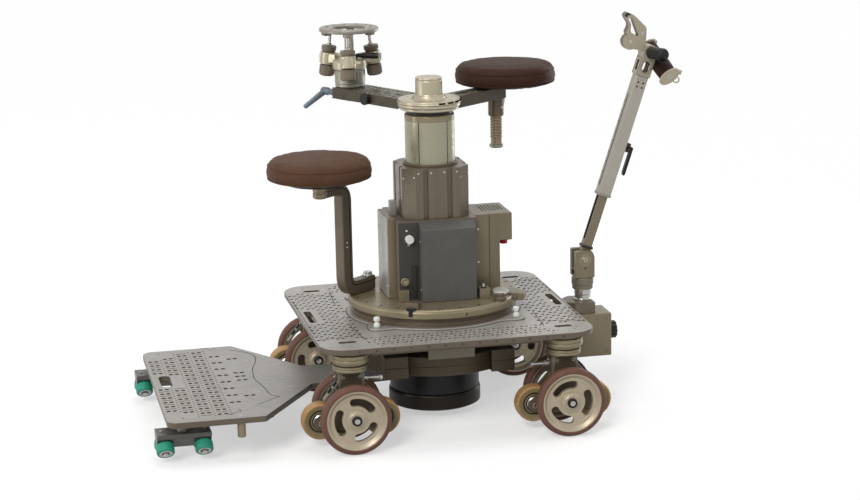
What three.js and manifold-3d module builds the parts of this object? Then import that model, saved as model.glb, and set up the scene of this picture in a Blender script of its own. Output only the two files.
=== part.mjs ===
// Camera dolly with a turntable column, two seats, a levelling head, a push bar and a low front platform.
// Millimetres, +Z up. X runs to the push bar, Y to the far side, and the column stands on X = Y = 0.
// Heights are measured from the floor under the large wheels.
import * as THREE from "three";
import { mergeVertices } from "three/addons/utils/BufferGeometryUtils.js";
import Module from "manifold-3d";

const wasm = await Module();
wasm.setup();

// Clearances and cuts
const gap = 0.3;
const running = 0.4;
const overrun = 6;

// Track
const railGauge = 620;
const railRise = 28;

// Round counts
const wheelSides = 14;
const railWheelSides = 12;
const rollerSides = 8;
const smallSides = 8;
const rodSides = 12;
const discSides = 18;
const ringSides = 26;

// Chassis deck
const deck = {
  halfLength: 404, halfWidth: 391, thickness: 17, top: 307, cornerRadius: 72,
  handSlotX: 376, handSlotLength: 136, handSlotWidth: 22,
  pocketX: 320, pocketY: 310, pocketLength: 54, pocketWidth: 20, pocketDepth: 10,
  earX: 210, earY: 190, earRadius: 26, plateRadius: 262, plateHeight: 5,
  ringOuter: 245, ringInner: 150, ringHeight: 24,
  knobRadius: 9, knobWaist: 5, knobHeight: 16,
};

// Corner assemblies
const pivotX = 317;
const pivotY = 325;
const axleRadius = 12;
const pivot = {
  housingRadius: 56, housingHeight: 38, stemRadius: 20, stemDepth: 26,
  discRadius: 50, discHeight: 21,
};
const wheel = {
  radius: 103, width: 35, offset: 77, rimInner: 80, rimSeat: 74,
  discThickness: 12, hubRadius: 22, hubWidth: 30,
  slotRadius: 53, slotWidth: 24, slots: 3,
};
const slotSpanShare = 0.17;
const railWheel = {
  radius: 54, width: 44, spread: 90, edge: 4, pinRadius: 9,
};
const fork = {
  blockLength: 76, neckLength: 44, plateThickness: 8, plateHeight: 44, plateGap: 2.5,
  bridgeClearance: 5, capRadius: 14, capLength: 8,
  pinRadius: 6, pinHeadRadius: 9, pinHeadLength: 10, pinLength: 58, pinHeight: 198,
  scraperReach: 84, scraperThickness: 6, scraperWidth: 26, scraperTop: 205, scraperBottom: 148,
};

// Underside housing
const belly = {
  bandRadius: 245, bandBottom: 163, bandTop: 222, neckRadius: 200,
  drumRadius: 135, drumBottom: 71, ringRadius: 139, ringBottom: 21, wall: 12,
  blockInner: 125, blockOuter: 196, blockFront: 225, blockDepth: 60, blockDrop: 4,
  plateHalfLength: 70, plateFront: 246, plateThickness: 8,
};

// Turntable
const table = {
  radius: 257, height: 29, spigotDepth: 18, bevel: 3,
  lugInset: 35, lugReach: 25, lugHalfWidth: 30, lugLift: 10, lugHeight: 25, lugTurnShare: -0.068,
  padHalfLength: 16, padHalfWidth: 20, padHeight: 36, padBesideCover: 8, padBeforeHousing: 24,
  postRadius: 15, postHeight: 22, postInset: 15,
};
const postTurnShare = -0.1297;

// Column
const housing = {
  back: 112, left: -128, right: 112, front: -112, height: 239,
  sideBoxDepth: 22, sideBoxHalfWidth: 75, sideBoxHeight: 243,
  topBlockLength: 20, topBlockHalfWidth: 12, topBlockHeight: 44,
  footHeight: 8, panelKnobX: -93, panelKnobZ: 552, panelKnobRadius: 13, panelKnobLength: 16,
  fittingX: -112, fittingZ: 423, fittingRadius: 9, fittingLength: 20,
};
const cover = { left: -63, right: 102, depth: 40, height: 217, slopeRise: 18, wall: 4 };
const controlBox = {
  right: 229, lowerRight: 191, near: -80, far: 76, height: 239, overhangHeight: 83,
  buttonX: 210, buttonY: -48, buttonRadius: 9, buttonHeadRadius: 12,
  buttonHeight: 12, buttonSeat: 14, buttonTravel: 4,
};
const sleeve = {
  halfLength: 101, halfWidth: 100, chamfer: 35, top: 754.5, bottom: 462,
  grooveCentre: 36, grooveWidth: 14, grooveDepth: 9,
};
const tube = {
  radius: 74, wall: 8, bottom: 562, shoulder: 918, neckRadius: 68, neckHeight: 13,
  flangeRadius: 88, flangeHeight: 10,
};

// Arms on top of the column
const armTurnShare = 0.3306;
const seatArmTurnShare = 0.0987;
const hub = {
  discRadius: 93, segmentHeight: 10.5, discHeight: 10, spigotRadius: 35,
  collarRadius: 50, collarHeight: 11, capRadius: 40, capHeight: 53, capEdge: 3,
};
const cameraArm = {
  bottom: 913, thickness: 32, halfWidth: 57, length: 392,
  knobAt: 218, knobRadius: 18, knobLength: 16,
};
const seatArm = {
  bottom: 909, rootHalfWidth: 38, halfWidth: 29, length: 324, postAt: 304, slotStart: 118, slotLength: 60,
  slotWidth: 16, slotDepth: 12, clampRadius: 24, clampDrop: 55, latchHalfWidth: 11, latchThickness: 4,
  latchDrop: 50,
};

// Levelling head
const head = {
  at: 366, baseRadius: 46, baseHeight: 56, bowlRadius: 53, bowlHeight: 31,
  postRadius: 14, ringTop: 1128, ringHeight: 12, ringOuter: 91, ringInner: 50,
  spokeWidth: 22, spokeHeight: 10,
  lugRadius: 25, lugHeight: 38, lugLift: 10, lugStep: 5,
};
const screw = {
  count: 3, reach: 79, knobRadius: 24, knobHeight: 36, collarRadius: 23, collarHeight: 19,
  shankRadius: 9, rodRadius: 5, firstTurnShare: -0.2889, splayShare: 0.022,
};
const headHandle = { radius: 9, start: 30, length: 66, hubRadius: 12, hubHeight: 10, turnShare: -0.0833 };
const armLever = {
  hubRadius: 11, hubLength: 68, pinRadius: 6, pinDepth: 25, side: 34, lift: 13, reach: 92, tipRadius: 6,
  rootRadius: 9,
  dropShare: 0.075,
};

// Seats
const seat = {
  radius: 154, height: 64, crown: 6, sideDraw: 5, edge: 20, footEdge: 8, recessRadius: 118, skirt: 6,
};
const seatSides = 22;
const seatPost1 = {
  pivotX: -187, pivotY: 60, armTurnShare: 0.6144, postAt: 110, seatAt: 215,
  depth: 44, topDepth: 28, width: 34, bend: 44, topBend: 34, topCentre: 697, topShort: 8, tail: 18,
  boltRadius: 9, boltHeadRadius: 15, boltHeadHeight: 12, socketRadius: 21, socketDrop: 62, seatUnderside: 746,
  spindleRadius: 11, spindleDepth: 18,
};
const seatPost2 = {
  radius: 16.5, ribRadius: 19, ribs: 8, ribPitch: 9, ribStart: 30, footRadius: 21, footHeight: 12,
  bottom: 755,
  plateHeight: 5, plateHalfWidth: 28, seatAt: 349, seatUnderside: 953,
  spindleRadius: 11, spindleDepth: 18, bossRadius: 40,
};

// Push bar
const rearBox = {
  front: 405, back: 544, near: -60, far: 46, bottom: 132, top: 266,
  beamFront: 246, beamHalfWidth: 45, beamBottom: 196,
  headFront: 406, headBack: 496, headHalfWidth: 48, headTop: 301, headCorner: 26,
  knobRadius: 27, knobLength: 30, knobHeight: 198,
};
const steerX = 469;
const neck = {
  stemRadius: 18, stemDepth: 24, radius: 25, height: 35, collarRadius: 31.5, collarHeight: 38,
  halfLength: 30, halfWidth: 32, cheekTop: 458, baseHeight: 26, pivotHeight: 430, pinRadius: 8,
};
const barLeanShare = 0.0515;
const barLean = barLeanShare * Math.PI * 2;
const lowerTube = { halfDepth: 14, halfWidth: 15, tail: 17, length: 381 };
const upperTube = { halfDepth: 20, halfWidth: 21, start: 201, end: 582, capHeight: 8 };
const barLever = {
  at: 362, baseHeight: 16, baseHalfWidth: 10, baseHalfLength: 14, pinRadius: 4,
  length: 86, thickness: 9, halfWidth: 7, stand: 26,
};
const handle = {
  bracketHalfDepth: 22, bracketHalfWidth: 25, bracketHeight: 56, windowHeight: 30, windowWidth: 22,
  archRise: 76, archRadius: 22, saddleHalf: 11,
  gripOut: 40, gripNear: 29, gripFar: 82, gripHalfSpan: 128, gripHalfDepth: 15, gripHalfHeight: 28,
  coreRadius: 8, plateLength: 9, plateHalfDepth: 19, plateHalfHeight: 34,
  hookStart: 16, hookReach: 32, hookRise: 22, hookHalfHeight: 7,
  knobRadius: 19, knobOut: 24, knobSide: 66, knobRise: 7,
  loopWidth: 28, loopReach: 112, loopTop: 166, loopFoot: 64, lobeRadius: 25, lobeOut: 68, lobeRise: 89,
};

// Corners of the upright loop of the handle, as shares of its reach and of its height above its foot
const loopOuterShares = [
  [-0.18, 0.1], [-0.2, 0.42], [-0.29, 0.78], [-0.74, 1.02], [-0.95, 1.05], [-1, 0.93], [-0.96, 0.87],
  [-0.8, 0.72], [-0.79, 0.6], [-0.82, 0.48], [-0.5, 0.05],
];
const loopHoleShares = [
  [-0.84, 0.88], [-0.66, 0.71], [-0.62, 0.52], [-0.5, 0.45], [-0.42, 0.5], [-0.76, 0.92],
];

// Front platform
const platform = {
  top: 131, thickness: 18, front: 850, shoulder: 571, halfWidth: 382, cornerRadius: 30,
  taperEnd: 392, tongueHalfWidth: 100, slotX: 812, slotCentre: 40, slotLength: 120, slotWidth: 34,
  pegX: 640, pegY: 362, pegRadius: 12, pegHeight: 44,
};
const skate = {
  x: 801, postRadius: 15, postDepth: 12, top: 87, halfLength: 78, halfWidth: 38, skirt: 7,
  rollerSpread: 55, rollerRadius: 26, rollerWidth: 30, rollerEdge: 4, rollerCentreSide: 28,
  rollerCentreRise: 42,
  axleRadius: 5, nutRadius: 9, nutLength: 5, apex: 6,
};

const TURN = Math.PI * 2;
const X = new THREE.Vector3(1, 0, 0);
const Y = new THREE.Vector3(0, 1, 0);
const Z = new THREE.Vector3(0, 0, 1);

// Materials
function finish(color, roughness, metalness) {
  return new THREE.MeshStandardMaterial({ color, roughness, metalness });
}
const finishes = {
  deck: finish(0x96918c, 0.45, 0.8),
  bronze: finish(0x8c8269, 0.4, 0.85),
  brown: finish(0x695c48, 0.45, 0.8),
  steel: finish(0xb8b6b0, 0.3, 1),
  silver: finish(0xa8a49c, 0.35, 0.9),
  grey: finish(0x585753, 0.5, 0.3),
  tyre: finish(0x78504a, 0.7, 0),
  amber: finish(0xb88a4e, 0.6, 0.1),
  roller: finish(0x1e7a5a, 0.5, 0),
  leather: finish(0x5f4436, 0.6, 0),
  black: finish(0x1e1d1c, 0.5, 0.2),
  red: finish(0xc21c28, 0.4, 0),
};

// Shape tools
function solidOf(geometry) {
  const bare = geometry.clone();
  for (const name of Object.keys(bare.attributes)) {
    if (name !== "position") bare.deleteAttribute(name);
  }
  const merged = mergeVertices(bare, 1e-4);
  const made = new wasm.Manifold(
    new wasm.Mesh({
      numProp: 3,
      vertProperties: new Float32Array(merged.attributes.position.array),
      triVerts: new Uint32Array(merged.index.array),
    }),
  );
  return made;
}

function geometryOf(made) {
  const mesh = made.getMesh();
  const geometry = new THREE.BufferGeometry();
  const count = mesh.numVert;
  const positions = new Float32Array(count * 3);
  for (let i = 0; i < count; i += 1) {
    positions.set(mesh.vertProperties.subarray(i * mesh.numProp, i * mesh.numProp + 3), i * 3);
  }
  geometry.setAttribute("position", new THREE.BufferAttribute(positions, 3));
  geometry.setIndex(new THREE.BufferAttribute(new Uint32Array(mesh.triVerts), 1));
  geometry.computeVertexNormals();
  return geometry;
}

function block(x0, x1, y0, y1, z0, z1) {
  const geometry = new THREE.BoxGeometry(Math.abs(x1 - x0), Math.abs(y1 - y0), Math.abs(z1 - z0));
  geometry.translate((x0 + x1) / 2, (y0 + y1) / 2, (z0 + z1) / 2);
  return solidOf(geometry);
}

// A round bar from one point to another
function bar(radius, from, to, sides = rodSides, endRadius = radius) {
  const start = new THREE.Vector3(...from);
  const run = new THREE.Vector3(...to).sub(start);
  const geometry = new THREE.CylinderGeometry(endRadius, radius, run.length(), sides, 1);
  geometry.rotateY(Math.PI / sides);
  geometry.translate(0, run.length() / 2, 0);
  geometry.applyQuaternion(new THREE.Quaternion().setFromUnitVectors(Y, run.clone().normalize()));
  geometry.translate(start.x, start.y, start.z);
  return solidOf(geometry);
}

// An upright round bar
function post(radius, x, y, z0, z1, sides = rodSides) {
  return bar(radius, [x, y, z0], [x, y, z1], sides);
}

// Corner radius of a many-sided bore whose flats clear a shaft that turns in it
function boreRadius(radius, sides = rodSides) {
  return (radius + running) / Math.cos(Math.PI / sides);
}

// A turned shape about Z from [radius, height] points, first point repeated at the end or on the axis
function turned(profile, sides) {
  const points = profile.map(([r, z]) => new THREE.Vector2(r, z));
  const onAxis = profile[0][0] === 0;
  if (!onAxis) points.push(points[0].clone());
  const geometry = new THREE.LatheGeometry(points, sides, Math.PI / sides);
  geometry.rotateX(Math.PI / 2);
  return solidOf(geometry);
}

function extruded(shape, z0, z1, curveSegments = 1) {
  const geometry = new THREE.ExtrudeGeometry(shape, { depth: z1 - z0, bevelEnabled: false, curveSegments });
  geometry.translate(0, 0, z0);
  return solidOf(geometry);
}

function shapeOf(points) {
  return new THREE.Shape(points.map(([x, y]) => new THREE.Vector2(x, y)));
}

function roundedRectangle(halfX, halfY, radius) {
  const shape = new THREE.Shape();
  const quarter = Math.PI / 2;
  shape.absarc(halfX - radius, halfY - radius, radius, 0, quarter);
  shape.absarc(-halfX + radius, halfY - radius, radius, quarter, 2 * quarter);
  shape.absarc(-halfX + radius, -halfY + radius, radius, 2 * quarter, 3 * quarter);
  shape.absarc(halfX - radius, -halfY + radius, radius, 3 * quarter, TURN);
  return shape;
}

function slotShape(length, width) {
  return roundedRectangle(length / 2, width / 2, width / 2);
}

// A solid moved by a matrix built from a turn about Z and a shift
function placed(made, x, y, z, turn = 0) {
  const geometry = geometryOf(made);
  geometry.rotateZ(turn);
  geometry.translate(x, y, z);
  return solidOf(geometry);
}

function tilted(made, axis, angle, x = 0, y = 0, z = 0) {
  const geometry = geometryOf(made);
  geometry.applyQuaternion(new THREE.Quaternion().setFromAxisAngle(axis, angle));
  geometry.translate(x, y, z);
  return solidOf(geometry);
}

function joined(...parts) {
  return parts.reduce((all, one) => all.add(one));
}

function cut(body, ...tools) {
  return tools.reduce((left, tool) => left.subtract(tool), body);
}

function node(parent, name, made, material) {
  const mesh = new THREE.Mesh(geometryOf(made), material);
  mesh.name = name;
  parent.add(mesh);
  return mesh;
}

// A group that stands where a joint turns or slides
function jointAt(parent, name, x, y, z) {
  const group = new THREE.Group();
  group.name = name;
  group.position.set(x, y, z);
  parent.add(group);
  return group;
}

// Heights worked out from the pieces that stack on each other
const deckBottom = deck.top - deck.thickness;
const tableBottom = deck.top + deck.plateHeight + deck.ringHeight;
const tableTop = tableBottom + table.height;
const housingTop = tableTop + housing.height;
const coverDepthFront = housing.front - cover.depth;
const flangeBottom = tube.shoulder;
const flangeTop = flangeBottom + tube.flangeHeight;
const segmentBottom = flangeTop + gap;
const segmentTop = segmentBottom + hub.segmentHeight;
const hubBottom = segmentTop + gap;
const hubTop = hubBottom + hub.discHeight;
const armTop = cameraArm.bottom + cameraArm.thickness;
const armLeverHeight = cameraArm.bottom + armLever.lift;
const housingBottom = deckBottom - pivot.housingHeight;
const forkTop = housingBottom - gap;
const railWheelHeight = railRise + railWheel.radius;
const platformBottom = platform.top - platform.thickness;

// Heights on the head, from its foot on the camera arm
const lugMiddle = head.baseHeight + head.lugLift + head.lugHeight / 2;
const spokeBottom = head.ringTop - head.ringHeight - head.spokeHeight - armTop;

const dolly = new THREE.Group();
dolly.name = "camera_dolly";

// Deck plate with its base plate, turntable seat, pivot housings and corner knobs
function deckPlate() {
  const outline = roundedRectangle(deck.halfLength, deck.halfWidth, deck.cornerRadius);
  const plate = extruded(outline, deckBottom, deck.top, 3);
  const raised = post(deck.plateRadius, 0, 0, deck.top - gap, deck.top + deck.plateHeight, ringSides);
  const seatRing = turned(
    [
      [deck.ringInner, deck.top],
      [deck.ringOuter, deck.top],
      [deck.ringOuter, tableBottom - gap],
      [deck.ringInner, tableBottom - gap],
    ],
    ringSides,
  );
  let made = joined(plate, raised, seatRing);
  const waist = deck.knobHeight / 4;
  for (const sx of [-1, 1]) {
    for (const sy of [-1, 1]) {
      const x = sx * deck.earX;
      const y = sy * deck.earY;
      const base = deck.top + deck.plateHeight;
      const ear = post(deck.earRadius, x, y, deck.top - gap, base, rollerSides);
      const lower = post(deck.knobRadius, x, y, base - gap, base + deck.knobHeight - waist, smallSides);
      const middle = post(deck.knobWaist, x, y, base, base + deck.knobHeight + waist, smallSides);
      const upperBase = base + deck.knobHeight + waist - gap;
      const upper = post(deck.knobRadius, x, y, upperBase, base + 2 * deck.knobHeight, smallSides);
      const px = sx * pivotX;
      const py = sy * pivotY;
      const tower = post(pivot.housingRadius, px, py, housingBottom, deckBottom + gap, wheelSides);
      made = joined(made, ear, lower, middle, upper, tower);
      const boreTop = housingBottom + pivot.stemDepth;
      made = cut(
        made,
        post(boreRadius(pivot.stemRadius, smallSides), px, py, housingBottom - overrun, boreTop, smallSides),
      );
      const pocket = extruded(
        slotShape(deck.pocketLength, deck.pocketWidth), deck.top - deck.pocketDepth, deck.top + overrun,
      );
      made = cut(made, placed(pocket, sx * deck.pocketX, sy * deck.pocketY, 0));
    }
    const hand = extruded(
      slotShape(deck.handSlotLength, deck.handSlotWidth), deckBottom - overrun, deck.top + overrun,
    );
    made = cut(made, placed(hand, sx * deck.handSlotX, 0, 0, Math.PI / 2));
  }
  return made;
}

// Large wheel turned about Z, its face with the slots
function largeWheel(bore) {
  const half = wheel.width / 2;
  const disc = wheel.discThickness / 2;
  const hubHalf = wheel.hubWidth / 2;
  const tread = wheel.radius / Math.cos(Math.PI / wheelSides);
  const body = turned(
    [
      [bore, -hubHalf],
      [wheel.hubRadius, -hubHalf],
      [wheel.rimSeat, -disc],
      [wheel.rimInner, -half],
      [tread, -half],
      [tread, half],
      [wheel.rimInner, half],
      [wheel.rimSeat, disc],
      [wheel.hubRadius, hubHalf],
      [bore, hubHalf],
    ],
    wheelSides,
  );
  const span = slotSpanShare * TURN;
  const endRadius = wheel.slotWidth / 2;
  const shape = new THREE.Shape();
  shape.absarc(0, 0, wheel.slotRadius + endRadius, -span / 2, span / 2);
  const tipX = Math.cos(span / 2) * wheel.slotRadius;
  const tipY = Math.sin(span / 2) * wheel.slotRadius;
  shape.absarc(tipX, tipY, endRadius, span / 2, span / 2 + Math.PI);
  shape.absarc(0, 0, wheel.slotRadius - endRadius, span / 2, -span / 2, true);
  shape.absarc(tipX, -tipY, endRadius, Math.PI - span / 2, TURN - span / 2);
  const slot = extruded(shape, -half - overrun, half + overrun);
  let made = body;
  for (let i = 0; i < wheel.slots; i += 1) {
    made = cut(made, placed(slot, 0, 0, 0, (i * TURN) / wheel.slots + Math.PI / 2));
  }
  return made;
}

function railWheelBody() {
  const half = railWheel.width / 2;
  const bore = boreRadius(railWheel.pinRadius, railWheelSides);
  return turned(
    [
      [bore, -half],
      [railWheel.radius - railWheel.edge, -half],
      [railWheel.radius, -half + railWheel.edge],
      [railWheel.radius, half - railWheel.edge],
      [railWheel.radius - railWheel.edge, half],
      [bore, half],
    ],
    railWheelSides,
  );
}

// Steered fork with its stem, block, side plates, axle and pins. inward and outward are the signs of X and Y
// that point to the middle of the deck and away from it.
function forkBody(inward, outward) {
  const railY = (railGauge / 2 - pivotY) * outward;
  const plateInner = railWheel.width / 2 + fork.plateGap;
  const plateOuter = plateInner + fork.plateThickness;
  const blockBottom = railWheelHeight + railWheel.radius + fork.bridgeClearance;
  const discBottom = forkTop - pivot.discHeight;
  const stemTop = housingBottom + pivot.stemDepth - 2 * running;
  let made = joined(
    post(pivot.stemRadius, 0, 0, forkTop - overrun, stemTop, smallSides),
    post(pivot.discRadius, 0, 0, discBottom, forkTop, wheelSides),
    block(
      -fork.blockLength / 2, fork.blockLength / 2, railY - plateOuter * outward, railY + plateOuter * outward,
      blockBottom, discBottom + gap,
    ),
    block(
      -fork.neckLength / 2, fork.neckLength / 2, railY - plateOuter * outward, railY + plateOuter * outward,
      wheel.radius - axleRadius * 2, blockBottom + gap,
    ),
  );
  made = cut(
    made,
    ...[-1, 1].map((s) =>
      bar(
        railWheel.radius + fork.bridgeClearance,
        [s * railWheel.spread, railY - plateInner, railWheelHeight],
        [s * railWheel.spread, railY + plateInner, railWheelHeight],
        rodSides,
      ),
    ),
  );
  const profile = [
    [-railWheel.spread - fork.plateHeight / 2, railWheelHeight - fork.plateHeight / 4],
    [-railWheel.spread, railWheelHeight - fork.plateHeight / 2],
    [railWheel.spread, railWheelHeight - fork.plateHeight / 2],
    [railWheel.spread + fork.plateHeight / 2, railWheelHeight - fork.plateHeight / 4],
    [railWheel.spread + fork.plateHeight / 2, railWheelHeight + fork.plateHeight / 4],
    [railWheel.spread, railWheelHeight + fork.plateHeight / 2],
    [fork.blockLength / 2, blockBottom + fork.plateHeight / 2],
    [-fork.blockLength / 2, blockBottom + fork.plateHeight / 2],
    [-railWheel.spread, railWheelHeight + fork.plateHeight / 2],
    [-railWheel.spread - fork.plateHeight / 2, railWheelHeight + fork.plateHeight / 4],
  ];
  for (const side of [-1, 1]) {
    const plate = tilted(extruded(shapeOf(profile), 0, fork.plateThickness), X, Math.PI / 2);
    const shift = side > 0 ? plateOuter : -plateInner;
    made = joined(made, placed(plate, 0, railY + shift, 0));
    made = joined(
      made,
      bar(
        railWheel.pinRadius,
        [side * railWheel.spread, railY - plateOuter, railWheelHeight],
        [side * railWheel.spread, railY + plateOuter, railWheelHeight],
        smallSides,
      ),
    );
  }
  const axleReach = wheel.offset + wheel.hubWidth / 2 + running;
  const capMiddle = axleReach + fork.capLength / 2;
  made = joined(made, bar(axleRadius, [0, -capMiddle, wheel.radius], [0, capMiddle, wheel.radius]));
  for (const side of [-1, 1]) {
    const start = [0, side * axleReach, wheel.radius];
    const end = [0, side * (axleReach + fork.capLength), wheel.radius];
    made = joined(made, bar(fork.capRadius, start, end, smallSides));
  }
  const pinEnd = inward * (fork.blockLength / 2 + fork.pinLength);
  const pinStart = inward * (fork.blockLength / 2 - overrun);
  const headStart = pinEnd - inward * fork.pinHeadLength;
  made = joined(
    made,
    bar(fork.pinRadius, [pinStart, railY, fork.pinHeight], [pinEnd, railY, fork.pinHeight], smallSides),
    bar(fork.pinHeadRadius, [headStart, railY, fork.pinHeight], [pinEnd, railY, fork.pinHeight], smallSides),
  );
  const arm = new THREE.Vector2(
    -inward * (fork.scraperReach - fork.blockLength / 2), fork.scraperBottom - fork.scraperTop,
  );
  const strut = block(
    0, arm.length(), -fork.scraperWidth / 2, fork.scraperWidth / 2,
    -fork.scraperThickness / 2, fork.scraperThickness / 2,
  );
  const strutY = railY + outward * (plateOuter - fork.scraperWidth / 2);
  made = joined(
    made,
    tilted(
      strut, Y, -Math.atan2(arm.y, arm.x), -inward * (fork.blockLength / 2 - overrun), strutY,
      fork.scraperTop,
    ),
  );
  return made;
}

// One corner: the fork turns about the pivot, and the four wheels turn on it
function corner(label, sx, sy) {
  const steer = jointAt(dolly, label + "_steer", sx * pivotX, sy * pivotY, 0);
  node(steer, label + "_fork", forkBody(-sx, sy), finishes.bronze);
  const railY = (railGauge / 2 - pivotY) * sy;
  const made = largeWheel(boreRadius(axleRadius, wheelSides));
  for (const [side, sign] of [["outer", 1], ["inner", -1]]) {
    const spin = jointAt(steer, label + "_" + side + "_spin", 0, sign * sy * wheel.offset, wheel.radius);
    const mesh = node(spin, label + "_" + side + "_wheel", made, finishes.tyre);
    mesh.rotation.x = (-sy * sign * Math.PI) / 2;
  }
  const small = railWheelBody();
  for (const [end, sign] of [["front", -1], ["rear", 1]]) {
    const spin = jointAt(
      steer, label + "_rail_" + end + "_spin", sign * railWheel.spread, railY, railWheelHeight,
    );
    const mesh = node(spin, label + "_rail_wheel_" + end, small, finishes.amber);
    mesh.rotation.x = Math.PI / 2;
  }
}

// Housing under the deck: a hollow drum under a wide band, open to the deck above, with its end blocks
function bellyHousing() {
  let made = turned(
    [
      [0, belly.ringBottom],
      [belly.ringRadius, belly.ringBottom],
      [belly.ringRadius, belly.drumBottom],
      [belly.drumRadius, belly.drumBottom],
      [belly.drumRadius, belly.bandBottom],
      [belly.bandRadius, belly.bandBottom],
      [belly.bandRadius, belly.bandTop],
      [belly.neckRadius, belly.bandTop],
      [belly.neckRadius, deckBottom - gap],
      [belly.neckRadius - belly.wall, deckBottom - gap],
      [belly.neckRadius - belly.wall, belly.bandBottom + belly.wall],
      [belly.drumRadius - belly.wall, belly.bandBottom + belly.wall],
      [belly.drumRadius - belly.wall, belly.ringBottom + belly.wall],
      [0, belly.ringBottom + belly.wall],
    ],
    ringSides,
  );
  const depthEnd = belly.blockFront - belly.blockDepth;
  for (const sx of [-1, 1]) {
    for (const sy of [-1, 1]) {
      made = joined(
        made,
        block(
          sx * belly.blockInner, sx * belly.blockOuter, sy * belly.blockFront, sy * depthEnd,
          belly.bandBottom - belly.blockDrop, belly.bandTop + belly.blockDrop,
        ),
      );
    }
  }
  const plate = block(
    -belly.plateHalfLength, belly.plateHalfLength, -belly.plateFront,
    -belly.plateFront + belly.plateThickness,
    belly.bandTop - overrun, deckBottom - gap,
  );
  return joined(made, plate);
}

// Turntable with its spigot, lug and small fittings
function turntableBody() {
  const spigot = deck.ringInner * Math.cos(Math.PI / ringSides) - running;
  let made = turned(
    [
      [0, tableBottom - table.spigotDepth],
      [spigot, tableBottom - table.spigotDepth],
      [spigot, tableBottom],
      [table.radius, tableBottom],
      [table.radius, tableTop - table.bevel],
      [table.radius - table.bevel, tableTop],
      [0, tableTop],
    ],
    ringSides,
  );
  const lugBottom = tableBottom + table.lugLift;
  const padX = cover.right + table.padBesideCover + table.padHalfLength;
  const padY = housing.front - table.padBeforeHousing;
  const postReach = table.radius - table.postInset;
  const postX = Math.cos(postTurnShare * TURN) * postReach;
  const postY = Math.sin(postTurnShare * TURN) * postReach;
  const lug = block(
    table.radius - table.lugInset, table.radius + table.lugReach, -table.lugHalfWidth, table.lugHalfWidth,
    lugBottom, lugBottom + table.lugHeight,
  );
  made = joined(
    made,
    placed(lug, 0, 0, 0, table.lugTurnShare * TURN),
    block(
      padX - table.padHalfLength, padX + table.padHalfLength,
      padY - table.padHalfWidth, padY + table.padHalfWidth, tableTop - gap, tableTop + table.padHeight,
    ),
    post(table.postRadius, postX, postY, tableTop - gap, tableTop + table.postHeight),
  );
  const boltHole = post(
    boreRadius(seatPost1.boltRadius), seatPost1.pivotX, seatPost1.pivotY,
    tableBottom + table.bevel, tableTop + overrun,
  );
  return cut(made, boltHole);
}

// Octagon with notched sides that slides in the housing; grow widens it for the guide
function sleeveShape(grow) {
  const a = sleeve.halfLength + grow;
  const b = sleeve.halfWidth + grow;
  const c = sleeve.chamfer;
  const near = sleeve.grooveCentre - sleeve.grooveWidth / 2 + grow;
  const far = sleeve.grooveCentre + sleeve.grooveWidth / 2 - grow;
  const depth = sleeve.grooveDepth;
  const quarter = [
    [a, -near], [a, near], [a - depth, near], [a - depth, far], [a, far], [a, b - c], [a - c, b], [far, b],
    [far, b - depth], [near, b - depth], [near, b],
  ];
  const mirrored = quarter.slice(1).map(([x, y]) => [-x, y]).reverse();
  const upper = [...quarter.slice(1), ...mirrored];
  const lower = upper.map(([x, y]) => [-x, -y]);
  return shapeOf([...upper, ...lower]);
}

function housingBody() {
  const bottom = tableTop + gap;
  const sideLeft = housing.left - housing.sideBoxDepth;
  const made = joined(
    block(housing.left, housing.right, housing.front, housing.back, bottom, housingTop),
    block(
      sideLeft, housing.left + overrun, -housing.sideBoxHalfWidth, housing.sideBoxHalfWidth,
      bottom, tableTop + housing.sideBoxHeight,
    ),
    block(
      housing.left, housing.left + housing.topBlockLength, -housing.topBlockHalfWidth,
      housing.topBlockHalfWidth,
      housingTop - overrun, housingTop + housing.topBlockHeight,
    ),
    bar(
      housing.panelKnobRadius,
      [housing.panelKnobX, housing.front + overrun, housing.panelKnobZ],
      [housing.panelKnobX, housing.front - housing.panelKnobLength, housing.panelKnobZ],
    ),
    bar(
      housing.fittingRadius,
      [housing.fittingX, housing.front + overrun, housing.fittingZ],
      [housing.fittingX, housing.front - housing.fittingLength, housing.fittingZ],
    ),
  );
  return cut(
    made,
    extruded(
      sleeveShape(running), bottom + housing.footHeight, housingTop + housing.topBlockHeight + overrun,
    ),
  );
}

// Hollow front cover with a sloping top, open towards the housing
function coverBody() {
  const bottom = tableTop + gap;
  const back = housing.front - gap;
  const front = coverDepthFront;
  const top = bottom + cover.height;
  const outline = (inset) => [
    [front + inset, bottom + inset],
    [back + (inset ? overrun : 0), bottom + inset],
    [back + (inset ? overrun : 0), top + cover.slopeRise - inset],
    [back, top + cover.slopeRise - inset],
    [front + inset, top - inset],
  ];
  const slab = (inset) => {
    const side = extruded(shapeOf(outline(inset)), cover.left + inset, cover.right - inset);
    const geometry = geometryOf(side);
    geometry.applyMatrix4(new THREE.Matrix4().makeBasis(Y, Z, X));
    return solidOf(geometry);
  };
  return cut(slab(0), slab(cover.wall));
}

function controlBoxBody() {
  const bottom = tableTop + gap;
  const top = tableTop + controlBox.height;
  const overhang = top - controlBox.overhangHeight;
  const left = housing.right + gap;
  const made = joined(
    block(left, controlBox.lowerRight, controlBox.near, controlBox.far, bottom, top),
    block(left, controlBox.right, controlBox.near, controlBox.far, overhang, top),
  );
  const bore = post(
    controlBox.buttonRadius + running, controlBox.buttonX, controlBox.buttonY,
    overhang - overrun, overhang + controlBox.buttonSeat + controlBox.buttonTravel,
  );
  return cut(made, bore);
}

function buttonBody() {
  const top = controlBox.buttonSeat - running;
  const face = -controlBox.buttonTravel - running;
  return joined(
    post(controlBox.buttonRadius, 0, 0, face - gap, top),
    post(controlBox.buttonHeadRadius, 0, 0, face - controlBox.buttonHeight, face),
  );
}

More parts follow.
